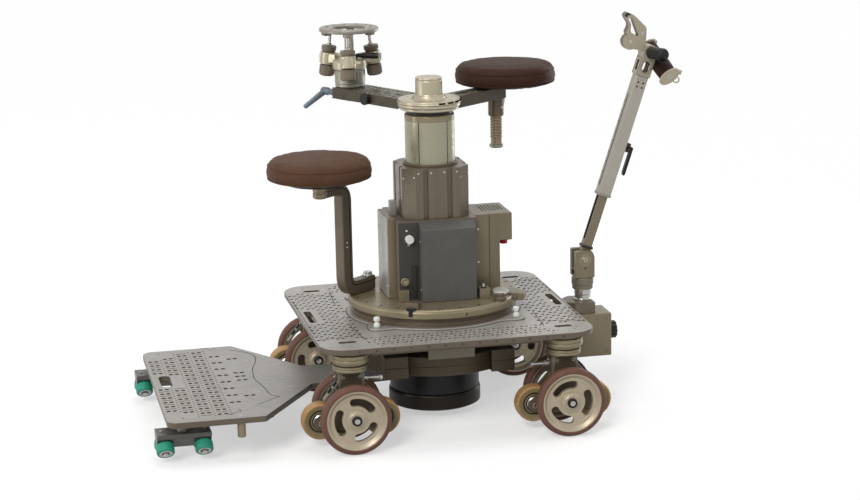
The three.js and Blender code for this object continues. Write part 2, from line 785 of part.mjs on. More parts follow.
function sleeveBody() {
  const made = extruded(sleeveShape(0), sleeve.bottom, sleeve.top);
  return cut(
    made, post(tube.radius + running, 0, 0, sleeve.bottom - overrun, sleeve.top + overrun, ringSides),
  );
}

function tubeBody() {
  return turned(
    [
      [tube.radius - tube.wall, tube.bottom],
      [tube.radius, tube.bottom],
      [tube.radius, tube.shoulder - tube.neckHeight],
      [tube.neckRadius, tube.shoulder - tube.neckHeight],
      [tube.neckRadius, flangeBottom],
      [tube.flangeRadius, flangeBottom],
      [tube.flangeRadius, flangeTop],
      [0, flangeTop],
      [0, flangeBottom - tube.wall],
      [tube.radius - tube.wall - tube.wall, flangeBottom - tube.wall],
      [tube.radius - tube.wall - tube.wall, tube.shoulder - tube.neckHeight - tube.wall],
      [tube.radius - tube.wall, tube.shoulder - tube.neckHeight - tube.wall],
    ],
    ringSides,
  );
}

// Arm that carries the head, with the hub disc, spigot and cap. Built along +X and turned in place.
function cameraArmBody() {
  const disc = turned(
    [
      [0, segmentBottom + gap],
      [hub.spigotRadius, segmentBottom + gap],
      [hub.spigotRadius, hubBottom],
      [hub.discRadius, hubBottom],
      [hub.discRadius, hubTop],
      [hub.collarRadius, hubTop],
      [hub.collarRadius - hub.capEdge, hubTop + hub.collarHeight],
      [hub.capRadius, hubTop + hub.collarHeight],
      [hub.capRadius, hubTop + hub.collarHeight + hub.capHeight - hub.capEdge],
      [hub.capRadius - hub.capEdge, hubTop + hub.collarHeight + hub.capHeight],
      [0, hubTop + hub.collarHeight + hub.capHeight],
    ],
    ringSides,
  );
  const beam = block(
    0, cameraArm.length, -cameraArm.halfWidth, cameraArm.halfWidth, cameraArm.bottom, armTop,
  );
  const clear = post(
    boreRadius(hub.discRadius, ringSides), 0, 0, cameraArm.bottom - overrun, hubBottom, ringSides,
  );
  const knob = bar(
    cameraArm.knobRadius,
    [cameraArm.knobAt, cameraArm.halfWidth - overrun, cameraArm.bottom + cameraArm.thickness / 2],
    [
      cameraArm.knobAt, cameraArm.halfWidth + cameraArm.knobLength,
      cameraArm.bottom + cameraArm.thickness / 2,
    ],
  );
  const leverHole = bar(
    boreRadius(armLever.pinRadius),
    [cameraArm.length + overrun, armLever.side, armLeverHeight],
    [cameraArm.length - armLever.pinDepth, armLever.side, armLeverHeight],
  );
  const made = joined(cut(beam, clear), disc, knob);
  return placed(cut(made, leverHole), 0, 0, 0, armTurnShare * TURN);
}

// Lock lever on the end of the camera arm, built about its own pin along +X
function armLeverBody() {
  const drop = armLever.dropShare * TURN;
  const tip = [
    armLever.hubLength - armLever.rootRadius,
    Math.cos(drop) * armLever.reach,
    -Math.sin(drop) * armLever.reach,
  ];
  return joined(
    bar(armLever.pinRadius, [-armLever.pinDepth + running, 0, 0], [gap + overrun, 0, 0]),
    bar(armLever.hubRadius, [gap, 0, 0], [armLever.hubLength, 0, 0]),
    bar(
      armLever.rootRadius, [armLever.hubLength - armLever.rootRadius, 0, 0], tip, rodSides,
      armLever.tipRadius,
    ),
  );
}

function seatArmBody() {
  const bore = boreRadius(hub.spigotRadius, ringSides);
  const ring = turned(
    [
      [bore, segmentBottom],
      [hub.discRadius, segmentBottom],
      [hub.discRadius, segmentTop],
      [bore, segmentTop],
    ],
    ringSides,
  );
  const root = seatArm.rootHalfWidth;
  const half = seatArm.halfWidth;
  const beam = extruded(
    shapeOf([
      [0, -root], [hub.discRadius, -root], [seatArm.length, -half], [seatArm.length, half],
      [hub.discRadius, root], [0, root],
    ]),
    seatArm.bottom, armTop,
  );
  const below = post(
    boreRadius(tube.flangeRadius, ringSides), 0, 0, seatArm.bottom - overrun, segmentBottom, ringSides,
  );
  const above = post(boreRadius(hub.discRadius, ringSides), 0, 0, segmentTop, armTop + overrun, ringSides);
  const hollow = post(hub.discRadius - overrun, 0, 0, seatArm.bottom - overrun, armTop + overrun, ringSides);
  const clamp = post(
    seatArm.clampRadius, seatArm.postAt, 0, seatArm.bottom - seatArm.clampDrop, seatArm.bottom + gap,
  );
  const latch = block(
    seatArm.length - gap, seatArm.length + seatArm.latchThickness, -seatArm.latchHalfWidth,
    seatArm.latchHalfWidth,
    armTop - seatArm.latchDrop, armTop - seatArm.slotDepth,
  );
  const slot = placed(
    extruded(slotShape(seatArm.slotLength, seatArm.slotWidth), armTop - seatArm.slotDepth, armTop + overrun),
    seatArm.slotStart + seatArm.slotLength / 2, 0, 0,
  );
  const postHole = post(
    seatPost2.ribRadius + running, seatArm.postAt, 0,
    seatArm.bottom - seatArm.clampDrop - overrun, armTop + overrun, smallSides,
  );
  const made = cut(joined(cut(beam, below, above, hollow), ring, clamp, latch), slot, postHole);
  return placed(made, 0, 0, 0, seatArmTurnShare * TURN);
}

// Moves a piece made about a screw's own axis to its place on the head, leaning in at the top
function onScrewAxis(made, index) {
  const leant = tilted(made, Y, -screw.splayShare * TURN, screw.reach, 0, lugMiddle);
  return placed(leant, 0, 0, 0, (screw.firstTurnShare + index / screw.count) * TURN);
}

// Head: base, bowl and three lugs that carry the screws
function headBaseBody() {
  const baseTop = head.baseHeight;
  const bowlTop = baseTop + head.bowlHeight;
  let made = joined(
    post(head.baseRadius, 0, 0, gap, baseTop + gap, discSides),
    post(head.bowlRadius, 0, 0, baseTop, bowlTop, discSides),
    post(head.postRadius, 0, 0, bowlTop - overrun, spokeBottom - gap),
  );
  const lugBottom = baseTop + head.lugLift;
  const lugTop = lugBottom + head.lugHeight;
  const half = head.lugHeight / 2;
  for (let i = 0; i < screw.count; i += 1) {
    const turn = (screw.firstTurnShare + i / screw.count) * TURN;
    const web = block(
      head.bowlRadius - overrun, screw.reach, -head.lugRadius, head.lugRadius,
      lugBottom + head.lugStep, lugTop - head.lugStep,
    );
    const eye = onScrewAxis(post(head.lugRadius, 0, 0, -half, half, railWheelSides), i);
    const holeRadius = boreRadius(screw.shankRadius, smallSides);
    const hole = onScrewAxis(post(holeRadius, 0, 0, -half - overrun, half + overrun, smallSides), i);
    made = cut(joined(made, placed(web, 0, 0, 0, turn), eye), hole);
  }
  return made;
}

// Levelling screw about its own axis, with its knob under the lug and its collar above
function screwBody() {
  const half = head.lugHeight / 2;
  const collarTop = half + gap + screw.collarHeight;
  const splay = screw.splayShare * TURN;
  const rise = spokeBottom - gap - lugMiddle - Math.sin(splay) * screw.rodRadius;
  return joined(
    post(screw.knobRadius, 0, 0, -half - gap - screw.knobHeight, -half - gap),
    post(screw.shankRadius, 0, 0, -half - screw.knobHeight / 2, half + screw.collarHeight / 2, smallSides),
    post(screw.collarRadius, 0, 0, half + gap, collarTop),
    post(screw.rodRadius, 0, 0, collarTop - gap, rise / Math.cos(splay)),
  );
}

// Mounting ring with three spokes that rest on the screws and the centre post
function headRingBody() {
  const top = head.ringTop - armTop;
  const bottom = top - head.ringHeight;
  let made = turned(
    [
      [head.ringInner, bottom],
      [head.ringOuter, bottom],
      [head.ringOuter, top],
      [head.ringInner, top],
    ],
    discSides,
  );
  for (let i = 0; i < screw.count; i += 1) {
    const spoke = block(
      0, screw.reach + head.spokeHeight, -head.spokeWidth / 2, head.spokeWidth / 2,
      bottom - head.spokeHeight, bottom + gap,
    );
    made = joined(made, placed(spoke, 0, 0, 0, (screw.firstTurnShare + i / screw.count) * TURN));
  }
  return made;
}

function headHandleBody() {
  const bore = boreRadius(head.postRadius);
  const bottom = head.baseHeight + head.bowlHeight + gap;
  const middle = bottom + headHandle.radius;
  const hubRing = turned(
    [
      [bore, bottom],
      [head.postRadius + headHandle.hubRadius, bottom],
      [head.postRadius + headHandle.hubRadius, bottom + headHandle.hubHeight],
      [bore, bottom + headHandle.hubHeight],
    ],
    rodSides,
  );
  const turn = headHandle.turnShare * TURN;
  const from = head.postRadius + headHandle.hubRadius / 2;
  const to = headHandle.start + headHandle.length;
  const at = (r) => [Math.cos(turn) * r, Math.sin(turn) * r, middle];
  const grip = bar(headHandle.radius, at(from), at(to));
  const trim = post(bore, 0, 0, bottom - overrun, middle + overrun + headHandle.radius);
  return cut(joined(hubRing, grip), trim);
}

// Round cushion with a crown, drawn-in sides and a recess under it. Zero height is the underside of its pan.
function cushionBody(spindleRadius, spindleDepth) {
  const r = seat.radius;
  const h = seat.height;
  const low = -seat.skirt;
  const shoulder = h - seat.crown - seat.edge;
  const sideStart = low + seat.footEdge;
  const sideSteps = 4;
  const edgeSteps = 4;
  const bore = boreRadius(spindleRadius, seatSides);
  const profile = [[0, spindleDepth], [bore, spindleDepth], [bore, 0], [seat.recessRadius, 0]];
  profile.push([seat.recessRadius + seat.skirt, low], [r - seat.sideDraw - seat.footEdge, low]);
  for (let i = 0; i < sideSteps; i += 1) {
    const t = i / sideSteps;
    const pull = 2 * t - 1;
    profile.push([r - seat.sideDraw * pull * pull, sideStart + (shoulder - sideStart) * t]);
  }
  for (let i = 0; i <= edgeSteps; i += 1) {
    const a = ((i / edgeSteps) * Math.PI) / 2;
    const across = r - seat.sideDraw - seat.edge + Math.cos(a) * seat.edge;
    profile.push([across, shoulder + Math.sin(a) * seat.edge]);
  }
  profile.push([r / 2, h - seat.crown / 4], [0, h]);
  return turned(profile, seatSides);
}

// Bent bar of the low seat: runs from the pivot out, up and out again
function seatPost1Body() {
  const half = seatPost1.depth / 2;
  const topHalf = seatPost1.topDepth / 2;
  const low = tableTop + gap + half;
  const high = seatPost1.topCentre;
  const out = seatPost1.postAt;
  const b = seatPost1.bend;
  const c = seatPost1.topBend;
  const at = (across, z) => new THREE.Vector3(across, 0, z);
  const lowBend = new THREE.QuadraticBezierCurve3(at(out - b, low), at(out, low), at(out, low + b));
  const highBend = new THREE.QuadraticBezierCurve3(at(out, high - c), at(out, high), at(out + c, high));
  const steps = 5;
  const centre = [[at(-seatPost1.tail, low), at(1, 0), half]];
  for (let i = 0; i <= steps; i += 1) {
    const t = i / steps;
    centre.push([lowBend.getPoint(t), lowBend.getTangent(t), half]);
  }
  for (let i = 0; i <= steps; i += 1) {
    const t = i / steps;
    centre.push([highBend.getPoint(t), highBend.getTangent(t), half + (topHalf - half) * t]);
  }
  centre.push([at(seatPost1.seatAt - seatPost1.topShort, high), at(1, 0), topHalf]);
  const side = (sign) => centre.map(([p, t, reach]) => [p.x - t.z * reach * sign, p.z + t.x * reach * sign]);
  const outline = [...side(-1), ...side(1).reverse()];
  const flat = extruded(shapeOf(outline), -seatPost1.width / 2, seatPost1.width / 2);
  const socketTop = seatPost1.seatUnderside - gap;
  const made = joined(
    tilted(flat, X, Math.PI / 2),
    post(seatPost1.boltRadius, 0, 0, tableBottom + table.bevel + running, low),
    post(seatPost1.boltHeadRadius, 0, 0, low + half - gap, low + half + seatPost1.boltHeadHeight),
    post(
      seatPost1.socketRadius, seatPost1.seatAt, 0, seatPost1.seatUnderside - seatPost1.socketDrop, socketTop,
    ),
    post(
      seatPost1.spindleRadius, seatPost1.seatAt, 0, high,
      seatPost1.seatUnderside + seatPost1.spindleDepth - running,
    ),
  );
  return placed(made, 0, 0, 0, seatPost1.armTurnShare * TURN);
}

// Ribbed post of the high seat with the plate that carries the seat further out
function seatPost2Body() {
  const profile = [[0, seatPost2.bottom], [seatPost2.footRadius, seatPost2.bottom]];
  const footTop = seatPost2.bottom + seatPost2.footHeight;
  profile.push([seatPost2.footRadius, footTop], [seatPost2.radius, footTop]);
  let z = footTop + seatPost2.ribStart - seatPost2.footHeight;
  for (let i = 0; i < seatPost2.ribs; i += 1) {
    const p = seatPost2.ribPitch;
    profile.push(
      [seatPost2.radius, z], [seatPost2.ribRadius, z + p / 3], [seatPost2.ribRadius, z + (2 * p) / 3],
    );
    z += p;
  }
  profile.push([seatPost2.radius, z]);
  profile.push([seatPost2.radius, armTop + gap], [0, armTop + gap]);
  const plateBottom = armTop + gap;
  const made = joined(
    turned(profile, smallSides),
    block(
      -seatPost2.plateHalfWidth, seatPost2.seatAt - seatArm.postAt, -seatPost2.plateHalfWidth,
      seatPost2.plateHalfWidth,
      plateBottom, plateBottom + seatPost2.plateHeight,
    ),
    post(seatPost2.radius, 0, 0, armTop - overrun, plateBottom + seatPost2.plateHeight, smallSides),
    post(
      seatPost2.bossRadius, seatPost2.seatAt - seatArm.postAt, 0, plateBottom, seatPost2.seatUnderside - gap,
    ),
    post(
      seatPost2.spindleRadius, seatPost2.seatAt - seatArm.postAt, 0,
      plateBottom, seatPost2.seatUnderside + seatPost2.spindleDepth - running,
    ),
  );
  return placed(made, 0, 0, 0, seatArmTurnShare * TURN);
}

// Steering gear behind the deck
function rearBoxBody() {
  const c = rearBox.headCorner;
  const w = rearBox.headHalfWidth;
  const headShape = shapeOf([
    [rearBox.headFront, -w + c], [rearBox.headFront + c, -w], [rearBox.headBack, -w], [rearBox.headBack, w],
    [rearBox.headFront + c, w], [rearBox.headFront, w - c],
  ]);
  const made = joined(
    block(rearBox.front, rearBox.back, rearBox.near, rearBox.far, rearBox.bottom, rearBox.top),
    block(
      rearBox.beamFront, rearBox.front + overrun, -rearBox.beamHalfWidth, rearBox.beamHalfWidth,
      rearBox.beamBottom, deckBottom - gap,
    ),
    extruded(headShape, rearBox.top - overrun, rearBox.headTop),
    bar(
      rearBox.knobRadius, [rearBox.back - overrun, 0, rearBox.knobHeight],
      [rearBox.back + rearBox.knobLength, 0, rearBox.knobHeight],
    ),
  );
  const bandCut = post(
    belly.bandRadius + gap, 0, 0, belly.bandBottom, belly.bandTop + belly.blockDrop + gap, ringSides,
  );
  const stemHole = post(
    boreRadius(neck.stemRadius), steerX, 0, rearBox.headTop - neck.stemDepth, rearBox.headTop + overrun,
  );
  return cut(made, bandCut, stemHole);
}

function neckBody() {
  const base = rearBox.headTop + gap;
  const collar = base + neck.height;
  const clevis = collar + neck.collarHeight;
  const lean = neck.pivotHeight;
  let made = joined(
    post(neck.stemRadius, 0, 0, rearBox.headTop - neck.stemDepth + running, base + overrun),
    post(neck.radius, 0, 0, base, collar + gap),
    post(neck.collarRadius, 0, 0, collar, clevis + gap),
    block(-neck.halfLength, neck.halfLength, -neck.halfWidth, neck.halfWidth, clevis, neck.cheekTop),
  );
  const slotHalf = lowerTube.halfWidth + running;
  made = cut(
    made,
    block(
      -neck.halfLength - overrun, neck.halfLength + overrun, -slotHalf, slotHalf,
      clevis + neck.baseHeight, neck.cheekTop + overrun,
    ),
  );
  return joined(
    made,
    bar(neck.pinRadius, [0, -neck.halfWidth - gap, lean], [0, neck.halfWidth + gap, lean]),
  );
}

// Pieces of the push bar are built about the clevis pin, along +Z, and leaned back in place
function lowerTubeBody() {
  const made = joined(
    bar(lowerTube.tail, [0, -lowerTube.halfWidth, 0], [0, lowerTube.halfWidth, 0]),
    block(
      -lowerTube.halfDepth, lowerTube.halfDepth, -lowerTube.halfWidth, lowerTube.halfWidth, 0,
      lowerTube.length,
    ),
  );
  const bore = bar(
    boreRadius(neck.pinRadius), [0, -lowerTube.halfWidth - overrun, 0], [0, lowerTube.halfWidth + overrun, 0],
  );
  return tilted(cut(made, bore), Y, barLean);
}

function upperTubeBody() {
  const outer = block(
    -upperTube.halfDepth, upperTube.halfDepth, -upperTube.halfWidth, upperTube.halfWidth, upperTube.start,
    upperTube.end,
  );
  const inner = block(
    -lowerTube.halfDepth - running, lowerTube.halfDepth + running,
    -lowerTube.halfWidth - running, lowerTube.halfWidth + running,
    upperTube.start - overrun, upperTube.end - upperTube.capHeight,
  );
  const earTop = upperTube.halfDepth + barLever.baseHeight;
  const ears = [-1, 1].map((s) =>
    block(
      upperTube.halfDepth - gap, earTop, s * barLever.baseHalfWidth, s * (barLever.halfWidth + running),
      barLever.at - barLever.baseHalfLength, barLever.at + barLever.baseHalfLength,
    ),
  );
  const pin = bar(
    barLever.pinRadius, [earTop - barLever.pinRadius * 2, -barLever.baseHalfWidth, barLever.at],
    [earTop - barLever.pinRadius * 2, barLever.baseHalfWidth, barLever.at],
  );
  return tilted(joined(cut(outer, inner), ...ears, pin), Y, barLean);
}

function barLeverBody() {
  const eye = barLever.baseHeight / 2 - running;
  const stand = barLever.stand - barLever.baseHeight;
  const made = joined(
    bar(eye, [0, -barLever.halfWidth, 0], [0, barLever.halfWidth, 0]),
    block(
      0, stand + barLever.thickness, -barLever.halfWidth, barLever.halfWidth, -barLever.thickness / 2,
      barLever.thickness / 2,
    ),
    block(
      stand, stand + barLever.thickness, -barLever.halfWidth, barLever.halfWidth,
      -barLever.length, barLever.thickness / 2,
    ),
  );
  const hole = bar(
    boreRadius(barLever.pinRadius),
    [0, -barLever.halfWidth - overrun, 0],
    [0, barLever.halfWidth + overrun, 0],
  );
  return tilted(cut(made, hole), Y, barLean);
}

// An oval bar between two points of the handle, its flat side towards the push bar
function ovalBar(halfDepth, halfHeight, from, to) {
  const start = new THREE.Vector3(...from);
  const run = new THREE.Vector3(...to).sub(start);
  const outline = new THREE.Shape();
  outline.absellipse(0, 0, halfDepth, halfHeight, 0, TURN);
  const geometry = geometryOf(extruded(outline, 0, run.length(), 6));
  geometry.applyQuaternion(new THREE.Quaternion().setFromUnitVectors(Z, run.clone().normalize()));
  geometry.translate(start.x, start.y, start.z);
  return solidOf(geometry);
}

// A point on the axis of the cross grip; side is -1 at its near end and 1 at its far end
function gripPoint(side, past = 0) {
  const middle = (handle.gripNear + handle.gripFar) / 2;
  const rise = (handle.gripFar - handle.gripNear) / 2;
  const along = new THREE.Vector3(0, handle.gripHalfSpan, rise);
  const reach = along.clone().normalize().multiplyScalar(past);
  along.add(reach).multiplyScalar(side);
  return [handle.gripOut, along.y, upperTube.end + middle + along.z];
}

// Head of the push bar: windowed bracket, arch, upright loop, side knob and the core of the cross grip
function handleFrameBody() {
  const start = upperTube.end + gap;
  const d = handle.bracketHalfDepth;
  const w = handle.bracketHalfWidth;
  const top = start + handle.bracketHeight;
  const sill = (handle.bracketHeight - handle.windowHeight) / 2;
  const half = handle.windowWidth / 2;
  const bracket = cut(
    block(-d, d, -w, w, start, top),
    block(-d - overrun, d + overrun, -half, half, start + sill, top - sill),
    block(-half, half, -w - overrun, w + overrun, start + sill, top - sill),
  );
  const archHeight = upperTube.end + handle.archRise;
  const arch = joined(
    bar(handle.archRadius, [0, -w, archHeight], [0, w, archHeight], discSides),
    block(-handle.archRadius, handle.archRadius, -w, w, top - gap, archHeight),
  );
  const foot = upperTube.end + handle.loopFoot;
  const tall = handle.loopTop - handle.loopFoot;
  const corners = (shares) => shares.map(([x, z]) => [x * handle.loopReach, foot + z * tall]);
  const loopShape = shapeOf(corners(loopOuterShares));
  loopShape.holes.push(new THREE.Path(corners(loopHoleShares).map(([x, z]) => new THREE.Vector2(x, z))));
  const loopHalf = handle.loopWidth / 2;
  const loop = tilted(extruded(loopShape, -loopHalf, loopHalf), X, Math.PI / 2);
  const lobeHeight = upperTube.end + handle.lobeRise;
  const lobe = bar(
    handle.lobeRadius, [-handle.lobeOut, -loopHalf, lobeHeight], [-handle.lobeOut, loopHalf, lobeHeight],
  );
  const knob = bar(
    handle.knobRadius,
    [0, -w + overrun, archHeight],
    [handle.knobOut, -w - handle.knobSide, archHeight + handle.knobRise],
  );
  const saddle = block(
    d - overrun, handle.gripOut, -handle.saddleHalf, handle.saddleHalf,
    gripPoint(0)[2] - handle.saddleHalf, gripPoint(0)[2] + handle.saddleHalf,
  );
  const plateStart = gap;
  const plateEnd = gap + handle.plateLength;
  const core = bar(handle.coreRadius, gripPoint(-1, plateStart + gap), gripPoint(1, plateStart + gap));
  const nearPlate = gripPoint(-1, plateEnd);
  const hook = block(
    handle.gripOut + handle.hookStart, handle.gripOut + handle.hookReach,
    nearPlate[1], nearPlate[1] + handle.plateLength - gap,
    nearPlate[2] + handle.hookRise - handle.hookHalfHeight,
    nearPlate[2] + handle.hookRise + handle.hookHalfHeight,
  );
  const plates = [-1, 1].map((side) =>
    ovalBar(
      handle.plateHalfDepth, handle.plateHalfHeight, gripPoint(side, plateStart), gripPoint(side, plateEnd),
    ),
  );
  return tilted(joined(bracket, arch, loop, lobe, knob, saddle, core, hook, ...plates), Y, barLean);
}

// Leather cross grip: an oval sleeve on its core, notched where the saddle comes in
function handleGripBody() {
  const sleeveBar = ovalBar(handle.gripHalfDepth, handle.gripHalfHeight, gripPoint(-1), gripPoint(1));
  const bore = bar(handle.coreRadius + running, gripPoint(-1, overrun), gripPoint(1, overrun));
  const half = handle.saddleHalf + running;
  const notch = block(
    0, handle.gripOut + running, -half, half, gripPoint(0)[2] - half, gripPoint(0)[2] + half,
  );
  return tilted(cut(sleeveBar, bore, notch), Y, barLean);
}

// Low platform with its hand slot, pegs and skate seats
function platformBody() {
  const f = platform.front;
  const w = platform.halfWidth;
  const c = platform.cornerRadius;
  const t = platform.tongueHalfWidth;
  const shape = new THREE.Shape();
  shape.moveTo(-f + c, -w);
  shape.lineTo(-platform.shoulder, -w);
  shape.lineTo(-platform.taperEnd, -t);
  shape.lineTo(-belly.drumRadius / 2, -t / 2);
  shape.lineTo(-belly.drumRadius / 2, t / 2);
  shape.lineTo(-platform.taperEnd, t);
  shape.lineTo(-platform.shoulder, w);
  shape.lineTo(-f + c, w);
  shape.absarc(-f + c, w - c, c, Math.PI / 2, Math.PI);
  shape.absarc(-f + c, -w + c, c, Math.PI, Math.PI * 1.5);
  let made = extruded(shape, platformBottom, platform.top);
  made = cut(
    made, post(belly.drumRadius + gap, 0, 0, platformBottom - overrun, platform.top + overrun, ringSides),
  );
  const slot = extruded(
    slotShape(platform.slotLength, platform.slotWidth), platformBottom - overrun, platform.top + overrun,
  );
  made = cut(made, placed(slot, -platform.slotX, platform.slotCentre, 0, Math.PI / 2));
  for (const sy of [-1, 1]) {
    made = joined(
      made,
      post(
        platform.pegRadius, -platform.pegX, sy * platform.pegY, platformBottom - platform.pegHeight,
        platformBottom + gap,
      ),
    );
    made = cut(
      made,
      post(
        boreRadius(skate.postRadius), -skate.x, (sy * railGauge) / 2,
        platformBottom - overrun, platformBottom + skate.postDepth + running,
      ),
    );
  }
  return made;
}

// Direction of a roller's axle, out and down at 45 degrees
function rollerAxis(side) {
  return new THREE.Vector3(0, side, -1).normalize();
}

function rollerCentre(end, side) {
  return new THREE.Vector3(end * skate.rollerSpread, side * skate.rollerCentreSide, skate.rollerCentreRise);
}

// Skate frame: a V block under a post, with four slanting axles
function skateBody() {
  const inner = rollerCentre(0, 1).addScaledVector(rollerAxis(1), -skate.rollerWidth / 2 - gap);
  const apexRise = inner.z - inner.y;
  const low = skate.apex / 2;
  const section = shapeOf([
    [-low, apexRise + low], [low, apexRise + low], [skate.halfWidth, apexRise + skate.halfWidth],
    [skate.halfWidth, skate.top], [-skate.halfWidth, skate.top],
    [-skate.halfWidth, apexRise + skate.halfWidth],
  ]);
  const prism = geometryOf(extruded(section, -skate.halfLength, skate.halfLength));
  prism.applyMatrix4(new THREE.Matrix4().makeBasis(Y, Z, X));
  let made = joined(
    solidOf(prism),
    post(skate.postRadius, 0, 0, skate.top - overrun, platformBottom + skate.postDepth),
  );
  for (const end of [-1, 1]) {
    for (const side of [-1, 1]) {
      const axis = rollerAxis(side);
      const centre = rollerCentre(end, side);
      const from = centre.clone().addScaledVector(axis, -skate.rollerWidth / 2 - skate.skirt);
      const face = centre.clone().addScaledVector(axis, skate.rollerWidth / 2 + gap);
      const to = face.clone().addScaledVector(axis, skate.nutLength);
      made = joined(
        made,
        bar(skate.axleRadius, from.toArray(), to.toArray(), rollerSides),
        bar(skate.nutRadius, face.toArray(), to.toArray(), rollerSides),
      );
    }
  }
  return made;
}

function rollerBody() {
  const bore = boreRadius(skate.axleRadius, rollerSides);
  const half = skate.rollerWidth / 2;
  return turned(
    [
      [bore, -half],
      [skate.rollerRadius - skate.rollerEdge, -half],
      [skate.rollerRadius, -half + skate.rollerEdge],
      [skate.rollerRadius, half - skate.rollerEdge],
      [skate.rollerRadius - skate.rollerEdge, half],
      [bore, half],
    ],
    rollerSides,
  );
}

function skateAssembly(label, sy) {
  const swivel = jointAt(dolly, label + "_skate_swivel", -skate.x, (sy * railGauge) / 2, 0);
  node(swivel, label + "_skate", skateBody(), finishes.brown);
  const made = rollerBody();
  for (const [endName, end] of [["front", -1], ["rear", 1]]) {
    for (const [sideName, side] of [["outer", sy], ["inner", -sy]]) {
      const centre = rollerCentre(end, side);
      const name = [label, sideName, endName].join("_");
      const spin = jointAt(swivel, name + "_roller_spin", centre.x, centre.y, centre.z);
      const mesh = node(spin, name + "_roller", made, finishes.roller);
      mesh.quaternion.setFromUnitVectors(Z, rollerAxis(side));
    }
  }
}

// Assembly
node(dolly, "deck_plate", deckPlate(), finishes.deck);
node(dolly, "belly_housing", bellyHousing(), finishes.bronze);
node(dolly, "front_platform", platformBody(), finishes.deck);
node(dolly, "steering_box", rearBoxBody(), finishes.bronze);
const corners = [["front_near", -1, -1], ["rear_near", 1, -1], ["front_far", -1, 1], ["rear_far", 1, 1]];
for (const [label, sx, sy] of corners) {
  corner(label, sx, sy);
}
skateAssembly("near", -1);
skateAssembly("far", 1);

const turntable = jointAt(dolly, "turntable_turn", 0, 0, 0);
node(turntable, "turntable", turntableBody(), finishes.bronze);
node(turntable, "column_housing", housingBody(), finishes.brown);
node(turntable, "front_cover", coverBody(), finishes.grey);
node(turntable, "control_box", controlBoxBody(), finishes.bronze);
const buttonRise = tableTop + controlBox.height - controlBox.overhangHeight;
const button = jointAt(turntable, "red_button_press", controlBox.buttonX, controlBox.buttonY, buttonRise);
node(button, "red_button", buttonBody(), finishes.red);

const swing = jointAt(turntable, "low_seat_arm_swing", seatPost1.pivotX, seatPost1.pivotY, 0);
node(swing, "low_seat_arm", seatPost1Body(), finishes.bronze);
const lowTurn = seatPost1.armTurnShare * TURN;
const lowSeat = jointAt(
  swing, "low_seat_turn", Math.cos(lowTurn) * seatPost1.seatAt, Math.sin(lowTurn) * seatPost1.seatAt,
  seatPost1.seatUnderside,
);
node(
  lowSeat, "low_seat_cushion", cushionBody(seatPost1.spindleRadius, seatPost1.spindleDepth),
  finishes.leather,
);

const sleeveSlide = jointAt(turntable, "column_sleeve_lift", 0, 0, 0);
node(sleeveSlide, "column_sleeve", sleeveBody(), finishes.brown);
const tubeSlide = jointAt(sleeveSlide, "column_tube_lift", 0, 0, 0);
node(tubeSlide, "column_tube", tubeBody(), finishes.bronze);

const armTurn = jointAt(tubeSlide, "camera_arm_turn", 0, 0, 0);
node(armTurn, "camera_arm", cameraArmBody(), finishes.bronze);
const armAngle = armTurnShare * TURN;
const alongArm = (s, side) => [
  Math.cos(armAngle) * s - Math.sin(armAngle) * side, Math.sin(armAngle) * s + Math.cos(armAngle) * side,
];
const leverTurn = jointAt(
  armTurn, "arm_lock_lever_turn", ...alongArm(cameraArm.length, armLever.side), armLeverHeight,
);
leverTurn.rotation.z = armAngle;
node(leverTurn, "arm_lock_lever", armLeverBody(), finishes.silver);

const headPlace = jointAt(armTurn, "head_place", ...alongArm(head.at, 0), armTop);
node(headPlace, "head_base", headBaseBody(), finishes.bronze);
node(headPlace, "head_ring", headRingBody(), finishes.silver);
const handleTurn = jointAt(headPlace, "head_lock_handle_turn", 0, 0, 0);
node(handleTurn, "head_lock_handle", headHandleBody(), finishes.black);
for (let i = 0; i < screw.count; i += 1) {
  const turn = (screw.firstTurnShare + i / screw.count) * TURN;
  const label = "levelling_screw_" + (i + 1);
  const place = jointAt(
    headPlace, label + "_turn", Math.cos(turn) * screw.reach, Math.sin(turn) * screw.reach, lugMiddle,
  );
  place.rotation.set(0, -screw.splayShare * TURN, turn, "ZYX");
  node(place, label, screwBody(), finishes.steel);
}

const seatArmTurn = jointAt(armTurn, "seat_arm_turn", 0, 0, 0);
node(seatArmTurn, "seat_arm", seatArmBody(), finishes.bronze);
const seatAngle = seatArmTurnShare * TURN;
const highPost = jointAt(
  seatArmTurn, "high_seat_lift", Math.cos(seatAngle) * seatArm.postAt, Math.sin(seatAngle) * seatArm.postAt,
  0,
);
node(highPost, "high_seat_post", seatPost2Body(), finishes.brown);
const highOut = seatPost2.seatAt - seatArm.postAt;
const highSeat = jointAt(
  highPost, "high_seat_turn", Math.cos(seatAngle) * highOut, Math.sin(seatAngle) * highOut,
  seatPost2.seatUnderside,
);
node(
  highSeat, "high_seat_cushion", cushionBody(seatPost2.spindleRadius, seatPost2.spindleDepth),
  finishes.leather,
);

const steering = jointAt(dolly, "steering_turn", steerX, 0, 0);
node(steering, "steering_neck", neckBody(), finishes.bronze);
const tilt = jointAt(steering, "push_bar_tilt", 0, 0, neck.pivotHeight);
node(tilt, "push_bar_lower", lowerTubeBody(), finishes.brown);
const telescope = jointAt(tilt, "push_bar_extend", 0, 0, 0);
node(telescope, "push_bar_upper", upperTubeBody(), finishes.silver);
node(telescope, "handle_frame", handleFrameBody(), finishes.silver);
node(telescope, "handle_grip", handleGripBody(), finishes.leather);
const leverOut = upperTube.halfDepth + barLever.baseHeight - barLever.pinRadius * 2;
const leverPlace = new THREE.Vector3(leverOut, 0, barLever.at).applyAxisAngle(Y, barLean);
const leverJoint = jointAt(telescope, "push_bar_lever_open", leverPlace.x, leverPlace.y, leverPlace.z);
node(leverJoint, "push_bar_lever", barLeverBody(), finishes.black);

